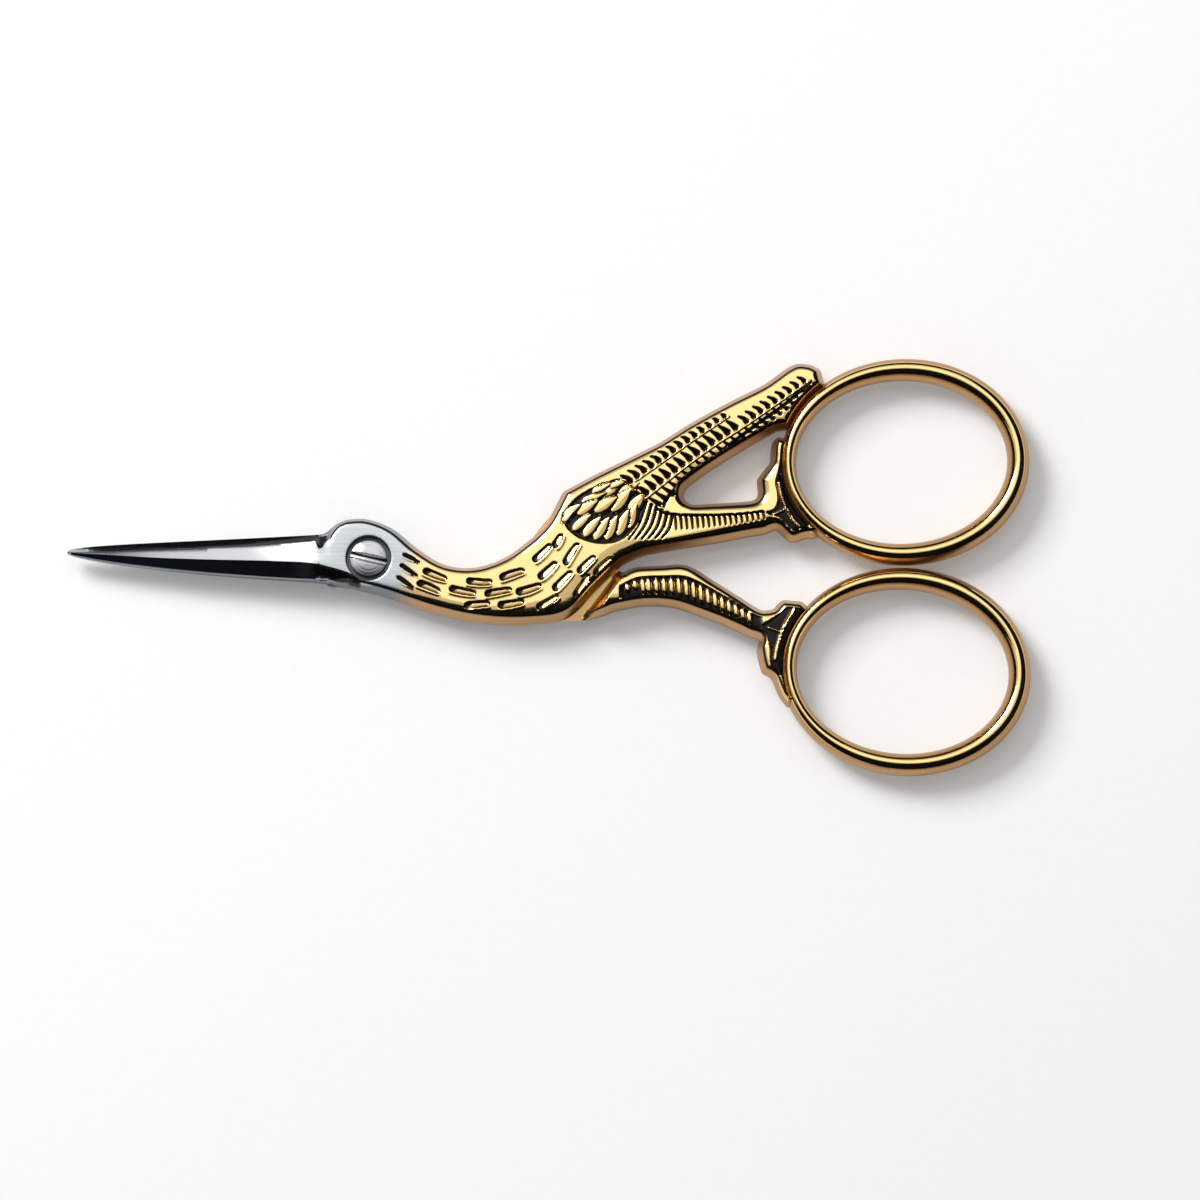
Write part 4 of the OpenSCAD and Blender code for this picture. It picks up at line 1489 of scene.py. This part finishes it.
@dataclass(frozen=True)
class ScrewFinish:
    """Turned bright steel with rings about the screw's axis, and shade painted near black on one side of the slot."""

    name: str = "turned_screw_steel"
    steel: tuple = (0.5, 0.515, 0.52)
    slot_shade: float = 0.0
    turn: float = -13.0

    def build(self, effects: SharedEffects) -> bpy.types.Material:
        """Builds the material.

        Args:
            effects: The shared node groups.

        Returns:
            The finished material.
        """
        desk = SurfaceDesk(self.name)
        shader = desk.metal()
        split = desk.add("ShaderNodeSeparateXYZ")
        desk.join(desk.coords, split.inputs[0])
        x, y, _ = split.outputs
        line = desk.add("ShaderNodeCombineXYZ")
        squares = desk.plus(desk.math("POWER", x, 2.0), desk.math("POWER", y, 2.0))
        desk.join(desk.math("SQRT", squares), line.inputs[0])
        rings = desk.noise(line.outputs[0], 9000.0, 3.0)
        wear = desk.group(effects.handling, Vector=desk.coords)
        turned = desk.mix_color(rings, rgba(self.steel, 0.72), rgba(self.steel))
        lean = math.radians(self.turn)
        # Painted shade: one side of the slot is darkened towards near black
        across = desk.minus(desk.times(y, math.cos(lean)), desk.times(x, math.sin(lean)))
        ragged = desk.plus(across, desk.times(desk.noise(desk.coords, 2400.0), 0.0002))
        side = desk.math("DIVIDE", desk.minus(ragged, 0.00008), 0.00012, clamp=True)
        base = desk.mix_color(desk.times(side, self.slot_shade), turned, (0.02, 0.02, 0.02, 1))
        desk.join(base, shader["Base Color"])
        desk.join(desk.plus(desk.times(wear["Smudge"], 0.12), 0.1), shader["Roughness"])
        desk.join(desk.bump(rings, 0.5, 0.00006), shader["Normal"])
        return desk.material


class Bench:
    """Holds every finish of the scissors."""

    def __init__(self) -> None:
        """Builds the finishes once."""
        effects = SharedEffects()
        gold = (0.78, 0.55, 0.235)
        rows = (
            ("polished_gilt", gold, (0.5, 0.525, 0.54), 0.1, 0.27, 0.5, 1.2),
            # The wall's gilt and steel are darker copies of the face's, painting the shade the walls fall in; the
            # satin roughness is the wall's own
            ("satin_gilt_wall_painted_shade", (0.5, 0.288, 0.13), (0.21, 0.235, 0.265), 0.3, 0.3, 2.2, 0.7),
            ("ground_blade_steel", gold, (0.46, 0.475, 0.48), 0.1, 0.38, 0.4, 1.5),
            # The hollow-ground steel is a darker, bluer copy of the blade's, painting shade on the inner face and the
            # facet under the crest; its low roughness is the grind's own
            ("hollow_ground_steel_painted_shade", gold, (0.34, 0.37, 0.42), 0.1, 0.14, 0.4, 0.6),
            ("satin_contact_face", (0.6, 0.42, 0.17), (0.38, 0.4, 0.41), 0.4, 0.32, 1.0, 1.4),
        )
        self.face, self.wall, blade, ground, contact = [MetalFinish(*row).build(effects) for row in rows]
        self.screw = ScrewFinish().build(effects)
        # The seat's near-black steel is painted shade in the narrow seat round the screw head
        seat = ScrewFinish("seat_steel_painted_shade", (0.09, 0.09, 0.1)).build(effects)
        # The slot's steel is a darker copy of the screw's, with one side painted near-black shade
        self.slot = ScrewFinish("slot_steel_painted_shade", (0.34, 0.34, 0.35), 0.96).build(effects)
        self.skins = {
            Skin.FACE: self.face, Skin.WALL: self.wall, Skin.BLADE: blade, Skin.SEAT: seat, Skin.GROUND: ground,
            Skin.CONTACT: contact,
        }


# Pieces


def pick(obj: bpy.types.Object, *others: bpy.types.Object) -> None:
    """Selects an object and makes it the active one, with others beside it if any are given."""
    for other in bpy.context.selected_objects:
        other.select_set(False)
    for chosen in (*others, obj):
        chosen.select_set(True)
    bpy.context.view_layer.objects.active = obj


def to_metres(obj: bpy.types.Object) -> None:
    """Brings a finished mesh from millimetres to metres, at the origin."""
    obj.data.transform(Matrix.Scale(MM, 4) @ obj.matrix_world)
    obj.matrix_world = Matrix.Identity(4)
    obj.data.update()


@dataclass
class Layer:
    """One side of a plate: its filled face with heights and painted shade, and its hole's radius."""

    face: Face
    heights: Points
    painted_shade: Points
    hole_r: float


@dataclass
class Shell:
    """Gathers the points and faces of a plate."""

    points: list[Points] = field(default_factory=list)
    painted_shade: list[Points] = field(default_factory=list)
    faces: list[tuple] = field(default_factory=list)
    skins: list[Skin] = field(default_factory=list)

    def put(self, points: Points, z: Points, paint_shade: Points | None = None) -> int:
        """Adds points with their heights and painted shade, and returns the number of the first."""
        start = sum(len(rows) for rows in self.points)
        self.points.append(np.column_stack([points, z]))
        self.painted_shade.append(np.zeros(len(points)) if paint_shade is None else paint_shade)
        return start

    def band(self, a: int, b: int, count: int, skin: Skin, flip: bool) -> None:
        """Joins two closed rows of points, which start at a and b, by faces."""
        for i in range(count):
            j = (i + 1) % count
            f = (a + i, a + j, b + j, b + i)
            self.faces.append(f[::-1] if flip else f)
            self.skins.append(skin)

    def fill(self, triangles: np.ndarray, start: int, skin: Skin) -> None:
        """Adds the triangles of a face whose points begin at start."""
        self.faces += [tuple(f) for f in (triangles + start).tolist()]
        self.skins += [skin] * len(triangles)


@dataclass
class ForgedHalf:
    """One gilt half of the scissors, blade to finger ring."""

    side: Side
    bench: Bench
    hole_n: int = 96
    ring_n: int = 144
    section_n: int = 32

    @property
    def name(self) -> str:
        """Returns the half's name."""
        return "front" if self.side is Side.FRONT else "back"

    @property
    def ring(self) -> RingForm:
        """Returns the ring that the half carries."""
        return UPPER_RING if self.side is Side.FRONT else LOWER_RING

    def crest_line(self) -> Points:
        """Returns the crest of the blade in flat points."""
        x = np.linspace(-BLADE_L * 0.985, -0.9, 150)
        u = -x / BLADE_L
        y = BLADE.middle(u) - BLADE.crest(u)
        if self.side is Side.BACK:
            y = 2 * BLADE.middle(u) - y
        return np.stack([x, y], axis=1)

    def step_lines(self) -> list[Points]:
        """Returns the two edges of the sloped stop step."""
        step = STOP_STEPS[self.side]
        span = np.linspace(-5, 5, 90)[:, None]
        return [np.array(step.spot) + unit(step.lean) * k + unit(step.lean + 90) * span for k in (0.0, 0.92)]

    def outer_zones(self) -> list[tuple]:
        """Returns the mesh spacing of the outer face."""
        if self.side is Side.FRONT:
            return [
                (lambda p: (p[:, 0] > 17.3) & (p[:, 0] < 41.8), 0.088),
                (lambda p: (p[:, 0] > 2.6) & (p[:, 0] <= 17.3), 0.11),
                (lambda p: (p[:, 0] > -7) & (p[:, 0] <= 2.6), 0.22),
                (None, 0.4),
            ]
        return [
            (lambda p: (p[:, 0] > 2.6) & (p[:, 0] < 41.5), 0.15),
            (lambda p: (p[:, 0] > -7) & (p[:, 0] <= 2.6), 0.25),
            (None, 0.4),
        ]

    def inner_zones(self) -> list[tuple]:
        """Returns the mesh spacing of the inner face."""
        if self.side is Side.FRONT:
            return [(lambda p: p[:, 0] > 20.0, 0.17), (None, 0.6)]
        return [(lambda p: p[:, 0] > 21.0, 0.085), (None, 0.6)]

    def outer_layer(self, form: PlateForm) -> Layer:
        """Fills and engraves the outer face."""
        rim, offset = form.rows[-1], form.offsets[-1]
        hole_r = SEAT_D / 2 if self.side is Side.FRONT else SHANK_D / 2
        face = fill_face(rim, offset, hole_r, self.hole_n, self.outer_zones(), [self.crest_line()])
        carver = Carver(face.points, form.height(face.points, face.distances))
        if self.side is Side.FRONT:
            NeckMarks().strike(carver, 23.4)
            WingWork().carve(carver)
        else:
            NeckMarks().strike(carver, 18.5, jitter=8)
        heights = np.minimum(carver.heights - form.seat_fall(face.points, hole_r), HALF_T)
        heights[:len(rim)] = form.height(rim, offset)
        # The painted shade of the engraving and of the face's edges
        paint_shade = np.maximum(carver.painted_shade, form.edge_painted_shade(face.points, face.distances))
        return Layer(face, heights, paint_shade, hole_r)

    def inner_layer(self, form: PlateForm) -> Layer:
        """Fills the inner face, plain where the halves meet and engraved behind the stop."""
        rim, offset = form.rows[-1], form.offsets[-1]
        hole_r = BORE_D / 2 if self.side is Side.FRONT else SHANK_D / 2
        face = fill_face(rim, offset, hole_r, self.hole_n, self.inner_zones(), self.step_lines())
        full = form.full_share(face.points)
        carver = Carver(face.points, form.height(face.points, face.distances))
        if self.side is Side.BACK:
            BackLegWork().carve(carver)
        else:
            WingWork().rows(carver)
        heights = np.minimum(carver.heights, HALF_T)
        heights[:len(rim)] = form.height(rim, offset)
        heights = blend(-GAP / 2 - form.hollow(face.points, face.distances), heights, full)
        paint_shade = np.maximum(carver.painted_shade, form.edge_painted_shade(face.points, face.distances)) * full
        # Painted shade on the inner face in the nick beside the boss, where it shows between the halves
        x = face.points[:, 0]
        root = 0.95 * smooth_step((-3.3 - x) / 0.3) * smooth_step((x + 5.1) / 0.6)
        return Layer(face, heights, np.maximum(paint_shade, root), hole_r)

    def plate(self) -> bpy.types.Object:
        """Builds the forged plate with its blade, seat, bore and engraving."""
        form = PlateForm(self.side, Outline(self.side))
        outer, inner = self.outer_layer(form), self.inner_layer(form)
        rows_out, rows_in = self.wall_rows(form, GAP / 2)
        top = outer.heights[:len(form.loop)]
        scale = np.where(np.abs(rows_out[-1]) > 1e-6, top / rows_out[-1], 1.0)
        rows_out = [r * blend(1.0, scale, k / (len(rows_out) - 1)) for k, r in enumerate(rows_out)]
        return self.assemble(form, outer, inner, rows_out, rows_in)

    def wall_rows(self, form: PlateForm, seam: float) -> tuple[list[Points], list[Points]]:
        """Returns the heights of the wall rows of both faces.

        Args:
            form: The half's heights.
            seam: Half the running gap.

        Returns:
            Heights over the parting plane, outwards positive, and for the inner face.
        """
        rows_out, rows_in = [], []
        last = form.height(form.rows[-1], form.offsets[-1])
        for k, (row, offset) in enumerate(zip(form.rows, form.offsets)):
            share = form.shares[k]
            body = form.plate_height(row, offset)
            u = np.clip(-row[:, 0] / BLADE_L, 0, 1)
            cutting = form.up_side(row) > BLADE.middle(u)
            steep = np.where(cutting, share, 1 - (1 - share) ** 3.5)
            blade = seam + (last - seam) * steep
            z = blend(blade, np.minimum(body, np.maximum(last, 0.1)), form.root_share(row))
            full = form.full_share(row)
            rows_out.append(z if k else blend(np.full(len(row), seam), np.zeros(len(row)), full))
            rows_in.append(blend(-seam - form.hollow(row, offset), body, full) if k else -rows_out[0])
        return rows_out, rows_in

    def assemble(
        self, form: PlateForm, outer: Layer, inner: Layer, rows_out: list[Points], rows_in: list[Points]
    ) -> bpy.types.Object:
        """Joins the faces, walls, seat and bore into one closed mesh.

        Args:
            form: The half's heights.
            outer: The outer side.
            inner: The inner side, its heights measured the other way.
            rows_out: Heights of the outer wall's rows.
            rows_in: Heights of the inner wall's rows.

        Returns:
            The plate, in millimetres.
        """
        n, m, last = len(form.loop), self.hole_n, len(form.rows) - 1
        shell = Shell()
        # The painted shade of the wall rows, along the face's edges
        lines = [form.edge_painted_shade(row, offset) for row, offset in zip(form.rows, form.offsets)]
        outs = [shell.put(form.rows[k], rows_out[k], lines[k]) for k in range(last)]
        outs.append(shell.put(outer.face.points, outer.heights, outer.painted_shade))
        lines = [line * form.full_share(row) for line, row in zip(lines, form.rows)]
        ins = [outs[0]] + [shell.put(form.rows[k], -rows_in[k], lines[k]) for k in range(1, last)]
        ins.append(shell.put(inner.face.points, -inner.heights, inner.painted_shade))
        for k in range(last):
            wall = k < WALL_ROWS
            shell.band(outs[k], outs[k + 1], n, Skin.WALL if wall else Skin.FACE, False)
            shell.band(ins[k], ins[k + 1], n, Skin.WALL if wall else Skin.GROUND, True)
        shell.fill(outer.face.triangles, outs[-1], Skin.FACE)
        shell.fill(inner.face.triangles[:, ::-1], ins[-1], Skin.GROUND)
        rims = [outs[-1] + n, ins[-1] + n]
        if self.side is Side.FRONT:
            seat_z = SEAT_Z - MID
            steps = ((outer.hole_r, seat_z + 0.03), (outer.hole_r - 0.03, seat_z), (inner.hole_r, seat_z))
            rims[1:1] = [shell.put(circle_points(m) * r, np.full(m, z)) for r, z in steps]
        for a, b in zip(rims[:-1], rims[1:]):
            shell.band(a, b, m, Skin.SEAT, True)
        data, faces = np.vstack(shell.points), shell.faces
        if self.side is Side.BACK:
            data[:, 2] *= -1
            faces = [f[::-1] for f in faces]
        data[:, 2] += MID
        mesh = bpy.data.meshes.new(f"{self.name}_plate")
        mesh.from_pydata(data.tolist(), [], faces)
        # The painted shade is stored on the points, for the finishes to read
        layer = mesh.attributes.new("painted_shade", "FLOAT", "POINT")
        layer.data.foreach_set("value", np.concatenate(shell.painted_shade).astype(np.float32))
        skins = self.final_skins(form, [data[list(f)] for f in faces], np.array(shell.skins))
        mesh.polygons.foreach_set("material_index", skins.astype(np.int32))
        for skin in Skin:
            mesh.materials.append(self.bench.skins[skin])
        obj = bpy.data.objects.new(f"{self.name}_plate", mesh)
        bpy.context.scene.collection.objects.link(obj)
        self.settle(obj)
        return obj

    @staticmethod
    def final_skins(form: PlateForm, corners: Sequence[Points], skins: np.ndarray) -> np.ndarray:
        """Tells the blade from the body, and its two facets apart.

        Args:
            form: The half's heights.
            corners: The corners of each face.
            skins: What each face was built as.

        Returns:
            The skin that each face is given.
        """
        middles = np.array([spots.mean(axis=0) for spots in corners])
        level = np.array([np.ptp(spots[:, 2]) for spots in corners]) < 0.2
        x = middles[:, 0]
        on_blade, inner = x < BLADE_X, skins == Skin.GROUND
        walls = on_blade & (skins == Skin.WALL) & ~level & (middles[:, 2] != MID)
        used = np.where(on_blade & ~walls, Skin.BLADE, skins)
        used = np.where(inner, np.where(x < CONTACT_X, Skin.GROUND, Skin.FACE), used)
        u = np.clip(-x / BLADE_L, 0, 1)
        # The facet under the crest takes the hollow-ground finish, whose darker steel paints that facet's shade
        under = form.up_side(middles) < BLADE.middle(u) - BLADE.crest(u)
        used = np.where((used == Skin.BLADE) & under, Skin.GROUND, used)
        hidden = inner & (x >= CONTACT_X) & (form.full_share(middles[:, :2]) <= 0)
        return np.where(hidden, Skin.CONTACT, used)

    def settle(self, obj: bpy.types.Object) -> None:
        """Drops loose points and shades the plate smooth with crisp creases."""
        pick(obj)
        bpy.ops.object.mode_set(mode="EDIT")
        bpy.ops.mesh.select_all(action="SELECT")
        bpy.ops.mesh.remove_doubles(threshold=0.004)
        bpy.ops.mesh.dissolve_degenerate(threshold=0.0005)
        bpy.ops.mesh.select_all(action="SELECT")
        bpy.ops.mesh.fill_holes(sides=12)
        bpy.ops.mesh.select_all(action="SELECT")
        bpy.ops.mesh.delete_loose()
        bpy.ops.object.mode_set(mode="OBJECT")
        bpy.ops.object.shade_smooth_by_angle(angle=math.radians(42))
        edit = bmesh.new()
        edit.from_mesh(obj.data)
        for _ in range(2):
            loose = {v for e in edit.edges if len(e.link_faces) != 2 for v in e.verts}
            if loose:
                bmesh.ops.remove_doubles(edit, verts=list(loose), dist=0.03)
                bmesh.ops.holes_fill(edit, edges=[e for e in edit.edges if len(e.link_faces) == 1], sides=12)
        creases = 0
        for edge in edit.edges:
            if len(edge.link_faces) == 2:
                x, y = ((a + b) / 2 for a, b in zip(edge.verts[0].co.xy, edge.verts[1].co.xy))
                sharp = edge.calc_face_angle(0.0) > math.radians(self.crease_angle(x, y))
                edge.smooth = not sharp
                creases += sharp
        open_edges = sum(1 for edge in edit.edges if len(edge.link_faces) != 2)
        edit.to_mesh(obj.data)
        edit.free()
        count = len(obj.data.polygons)
        log.info("%s plate: %d faces, %d creases, %d open edges", self.name, count, creases, open_edges)

    @staticmethod
    def crease_angle(x: float, y: float) -> float:
        """Returns the angle in degrees past which an edge is a crease, the least on the blade."""
        if x < -0.6 and math.hypot(x, y) > 2.25:
            return 11
        return 30 if x < 2.2 else 60

    def finger_ring(self) -> bpy.types.Object:
        """Builds the finger ring from a torus, drawn out to its domed, drafted band."""
        radius = 10
        bpy.ops.mesh.primitive_torus_add(
            major_radius=radius, minor_radius=1, major_segments=self.ring_n, minor_segments=self.section_n,
            location=(0, 0, 0),
        )
        obj = bpy.context.active_object
        obj.name = f"{self.name}_finger_ring"
        ring = self.ring
        for v in obj.data.vertices:
            around = math.atan2(v.co.y, v.co.x)
            turn = math.atan2(v.co.z, math.hypot(v.co.x, v.co.y) - radius)
            share = 0.5 + 0.5 * math.cos(turn)
            half = math.copysign(1, v.co.z if abs(v.co.z) > 1e-6 else 1)
            rise = max(1 - math.cos(turn) ** 2, 0) ** 0.64 * half
            p = ring.placed(blend(ring.inside(np.array(around)), ring.outside(np.array(around)), share))
            v.co = (p[0], p[1], MID + RING_T / 2 * rise)
        mesh = obj.data
        mesh.materials.append(self.bench.face)
        mesh.materials.append(self.bench.wall)
        bpy.ops.object.shade_smooth()
        for poly in mesh.polygons:
            poly.material_index = int(Skin.WALL if abs(poly.normal.z) < 0.6 else Skin.FACE)
        return obj

    def build(self) -> bpy.types.Object:
        """Builds the half and puts it in its node's place."""
        plate = self.plate()
        ring = self.finger_ring()
        pick(plate, ring)
        bpy.ops.object.join()
        plate.name = f"{self.name}_gilt_forging"
        to_metres(plate)
        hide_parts(f"{self.name}_half")
        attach(plate, self.name)
        plate.data.calc_loop_triangles()
        log.info("%s: %d triangles", plate.name, len(plate.data.loop_triangles))
        return plate


@dataclass
class PivotScrew:
    """The slotted screw that is the stork's eye."""

    bench: Bench
    head_d: float = HEAD_D
    head_low: float = 3.03
    head_rim: float = 3.68
    head_top: float = 3.9
    dome_steps: tuple = (0.05, 0.12, 0.28, 0.3, 0.35, 0.45)
    chamfer: float = 0.06
    eased: float = 0.05
    slot_r: float = 0.43
    slot_z: float = 3.94
    slot_turn: float = -13.0

    def build(self) -> bpy.types.Object:
        """Turns the head and shank, domes the head, and cuts the slot."""
        bpy.ops.mesh.primitive_cylinder_add(
            vertices=96, radius=self.head_d / 2, depth=self.head_rim - self.head_low,
            location=(0, 0, (self.head_rim + self.head_low) / 2), end_fill_type="NGON",
        )
        obj = bpy.context.active_object
        obj.name = "slotted_pivot_screw"
        edit = bmesh.new()
        edit.from_mesh(obj.data)
        edit.transform(obj.matrix_world)
        obj.matrix_world = Matrix.Identity(4)
        top = [f for f in edit.faces if f.normal.z > 0.9][0]
        for share in self.dome_steps:
            size = max(v.co.xy.length for v in top.verts)
            bmesh.ops.inset_region(edit, faces=[top], thickness=size * share, use_even_offset=True)
            r = max(v.co.xy.length for v in top.verts) / (self.head_d / 2)
            for v in top.verts:
                v.co.z = self.head_rim + (self.head_top - self.head_rim) * (1 - r ** 2.4)
        bottom = [f for f in edit.faces if f.normal.z < -0.9][0]
        bmesh.ops.inset_region(edit, faces=[bottom], thickness=self.head_d / 2 - SHANK_D / 2, use_even_offset=True)
        made = bmesh.ops.extrude_face_region(edit, geom=[bottom])
        foot = [v for v in made["geom"] if isinstance(v, bmesh.types.BMVert)]
        for v in foot:
            v.co.z = self.chamfer
        bmesh.ops.delete(edit, geom=[bottom], context="FACES_ONLY")
        low = [f for f in edit.faces if f.normal.z < -0.9 and f.calc_center_median().z < 0.1]
        bmesh.ops.inset_region(edit, faces=low, thickness=self.chamfer, use_even_offset=True)
        for f in low:
            for v in f.verts:
                v.co.z = 0.0
        edit.to_mesh(obj.data)
        edit.free()
        obj.data.materials.append(self.bench.screw)
        self.cut_slot(obj)
        pick(obj)
        edge = obj.modifiers.new("eased_edges", "BEVEL")
        edge.width = self.eased
        edge.segments = 2
        edge.limit_method = "ANGLE"
        edge.angle_limit = math.radians(50)
        bpy.ops.object.modifier_apply(modifier=edge.name)
        bpy.ops.object.shade_smooth_by_angle(angle=math.radians(35))
        to_metres(obj)
        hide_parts("pivot_screw")
        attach(obj, "back")
        log.info("pivot screw: %d faces", len(obj.data.polygons))
        return obj

    def cut_slot(self, obj: bpy.types.Object) -> None:
        """Cuts the driver slot through the head."""
        bpy.ops.mesh.primitive_cylinder_add(
            vertices=64, radius=self.slot_r, depth=self.head_d * 1.5, location=(0, 0, self.slot_z),
            rotation=(0, math.radians(90), math.radians(self.slot_turn)),
        )
        cutter = bpy.context.active_object
        cutter.data.materials.append(self.bench.slot)
        pick(obj)
        cut = obj.modifiers.new("slot", "BOOLEAN")
        cut.object = cutter
        cut.operation = "DIFFERENCE"
        cut.solver = "EXACT"
        bpy.ops.object.modifier_apply(modifier=cut.name)
        bpy.data.objects.remove(cutter)


# Studio


AIM = (0.02, 0, 0)
FLAGS = (
    ("lower_flag", 0.01, [(-0.7, -0.12, 0.7), (0.7, -0.09, 0.7), (0.9, -0.8, 0.0), (-0.9, -0.8, 0.0)]),
    ("right_flag", 0.015, [(0.22, -0.4, 0.66), (0.4, 0.8, 0.5), (0.85, 0.8, 0.0), (0.85, -0.8, 0.0)]),
    ("far_flag", 0.015, [(-0.85, 0.85, 0.45), (-0.85, 0.85, 0.0), (0.85, 0.85, 0.0), (0.85, 0.85, 0.45)]),
    ("left_flag", 0.015, [(-0.85, -0.8, 0.55), (-0.85, -0.8, 0.0), (-0.85, 0.85, 0.0), (-0.85, 0.85, 0.55)]),
)


@dataclass(frozen=True)
class Studio:
    """The floor, the soft lights and the camera."""

    tilt: float = 9.0
    distance: float = 0.9
    target: tuple = (21.62, -3.87, 3.39)
    view_width: float = 112.1

    def floor(self) -> None:
        """Lays the pale floor, which keeps the shadow."""
        bpy.ops.mesh.primitive_plane_add(size=3.0, location=AIM)
        obj = bpy.context.active_object
        obj.name = "studio_floor"
        desk = SurfaceDesk("pale_paper")
        paper = desk.add("ShaderNodeBsdfDiffuse")
        tooth = desk.noise(desk.coords, 900.0, 3.0)
        desk.join(desk.mix_color(tooth, (0.8, 0.8, 0.8, 1), (0.84, 0.84, 0.84, 1)), paper.inputs["Color"])
        glow = desk.add("ShaderNodeEmission")
        rays = desk.add("ShaderNodeLightPath").outputs
        seen = desk.math("MAXIMUM", rays["Is Camera Ray"], rays["Is Glossy Ray"])
        desk.join(desk.times(seen, 0.14), glow.inputs["Strength"])
        both = desk.add("ShaderNodeAddShader")
        desk.join(paper.outputs[0], both.inputs[0])
        desk.join(glow.outputs[0], both.inputs[1])
        desk.join(both.outputs[0], desk.surface)
        obj.data.materials.append(desk.material)

    def flag(self, name: str, corners: Sequence[tuple], shade: float) -> None:
        """Hangs a dark card outside the view, which the polished faces mirror.

        Args:
            name: The card's name.
            corners: Its four corners in metres.
            shade: Its grey level.
        """
        mesh = bpy.data.meshes.new(name)
        mesh.from_pydata(corners, [], [(0, 1, 2, 3)])
        obj = bpy.data.objects.new(name, mesh)
        bpy.context.scene.collection.objects.link(obj)
        desk = SurfaceDesk(f"{name}_cloth")
        cloth = desk.add("ShaderNodeBsdfDiffuse")
        cloth.inputs["Color"].default_value = (shade * 0.8, shade, shade * 1.5, 1)
        desk.join(cloth.outputs[0], desk.surface)
        mesh.materials.append(desk.material)
        obj.visible_camera = False
        obj.visible_diffuse = False
        obj.visible_shadow = False

    def world(self) -> None:
        """Sets the plain surroundings."""
        world = bpy.data.worlds.new("studio_air")
        bpy.context.scene.world = world
        world.use_nodes = True
        world.node_tree.nodes.clear()
        desk = NodeDesk(world.node_tree)
        sky = desk.add("ShaderNodeBackground")
        rays = desk.add("ShaderNodeLightPath").outputs
        seen = desk.math("MAXIMUM", rays["Is Camera Ray"], rays["Is Transmission Ray"])
        seen = desk.math("MAXIMUM", seen, rays["Is Glossy Ray"])
        desk.join(desk.plus(desk.times(seen, 0.6), 0.4), sky.inputs["Strength"])
        desk.join(sky.outputs[0], desk.add("ShaderNodeOutputWorld").inputs["Surface"])

    def lamp(self, name: str, spot: tuple, size: tuple, power: float) -> None:
        """Hangs a soft area lamp, turned to the scissors.

        Args:
            name: The lamp's name.
            spot: Its place in metres.
            size: Its two sides in metres.
            power: Its power in watts.
        """
        data = bpy.data.lights.new(name, "AREA")
        data.shape = "RECTANGLE"
        data.size, data.size_y = size
        data.energy = power
        obj = bpy.data.objects.new(name, data)
        obj.location = spot
        obj.rotation_euler = (Vector(AIM) - Vector(spot)).to_track_quat("-Z", "Y").to_euler()
        bpy.context.scene.collection.objects.link(obj)

    def camera(self) -> None:
        """Sets the camera at the photograph's angle."""
        data = bpy.data.cameras.new("view")
        data.type = "PERSP"
        data.sensor_width = 36.0
        data.lens = 36.0 * self.distance / (self.view_width * MM)
        obj = bpy.data.objects.new("view", data)
        t = math.radians(self.tilt)
        aim = Vector(self.target) * MM
        back = Vector((0, -math.sin(t), math.cos(t)))
        up = Vector((0, math.cos(t), math.sin(t)))
        right = Vector((1, 0, 0))
        turn = Matrix((right, up, back)).transposed()
        obj.matrix_world = Matrix.Translation(aim + back * self.distance) @ turn.to_4x4()
        bpy.context.scene.collection.objects.link(obj)
        bpy.context.scene.camera = obj

    def build(self) -> None:
        """Sets up the whole studio."""
        view = bpy.context.scene.view_settings
        view.view_transform = "Standard"
        self.floor()
        self.world()
        self.camera()
        self.lamp("overhead_softbox", (-0.05, 0.3, 0.7), (0.75, 0.5), 1.05)
        self.lamp("key_softbox", (-0.42, 0.42, 0.52), (0.34, 0.34), 5.8)
        for name, shade, corners in FLAGS:
            self.flag(name, corners, shade)


def main() -> None:
    """Builds the scissors and the studio, in order."""
    logging.basicConfig(level=logging.INFO, format="%(name)s: %(message)s")
    bench = Bench()
    for side in (Side.BACK, Side.FRONT):
        half = ForgedHalf(side, bench).build()
        log.info("built %s", half.name)
    screw = PivotScrew(bench).build()
    log.info("built %s", screw.name)
    Studio().build()


if __name__ == "__main__":
    main()
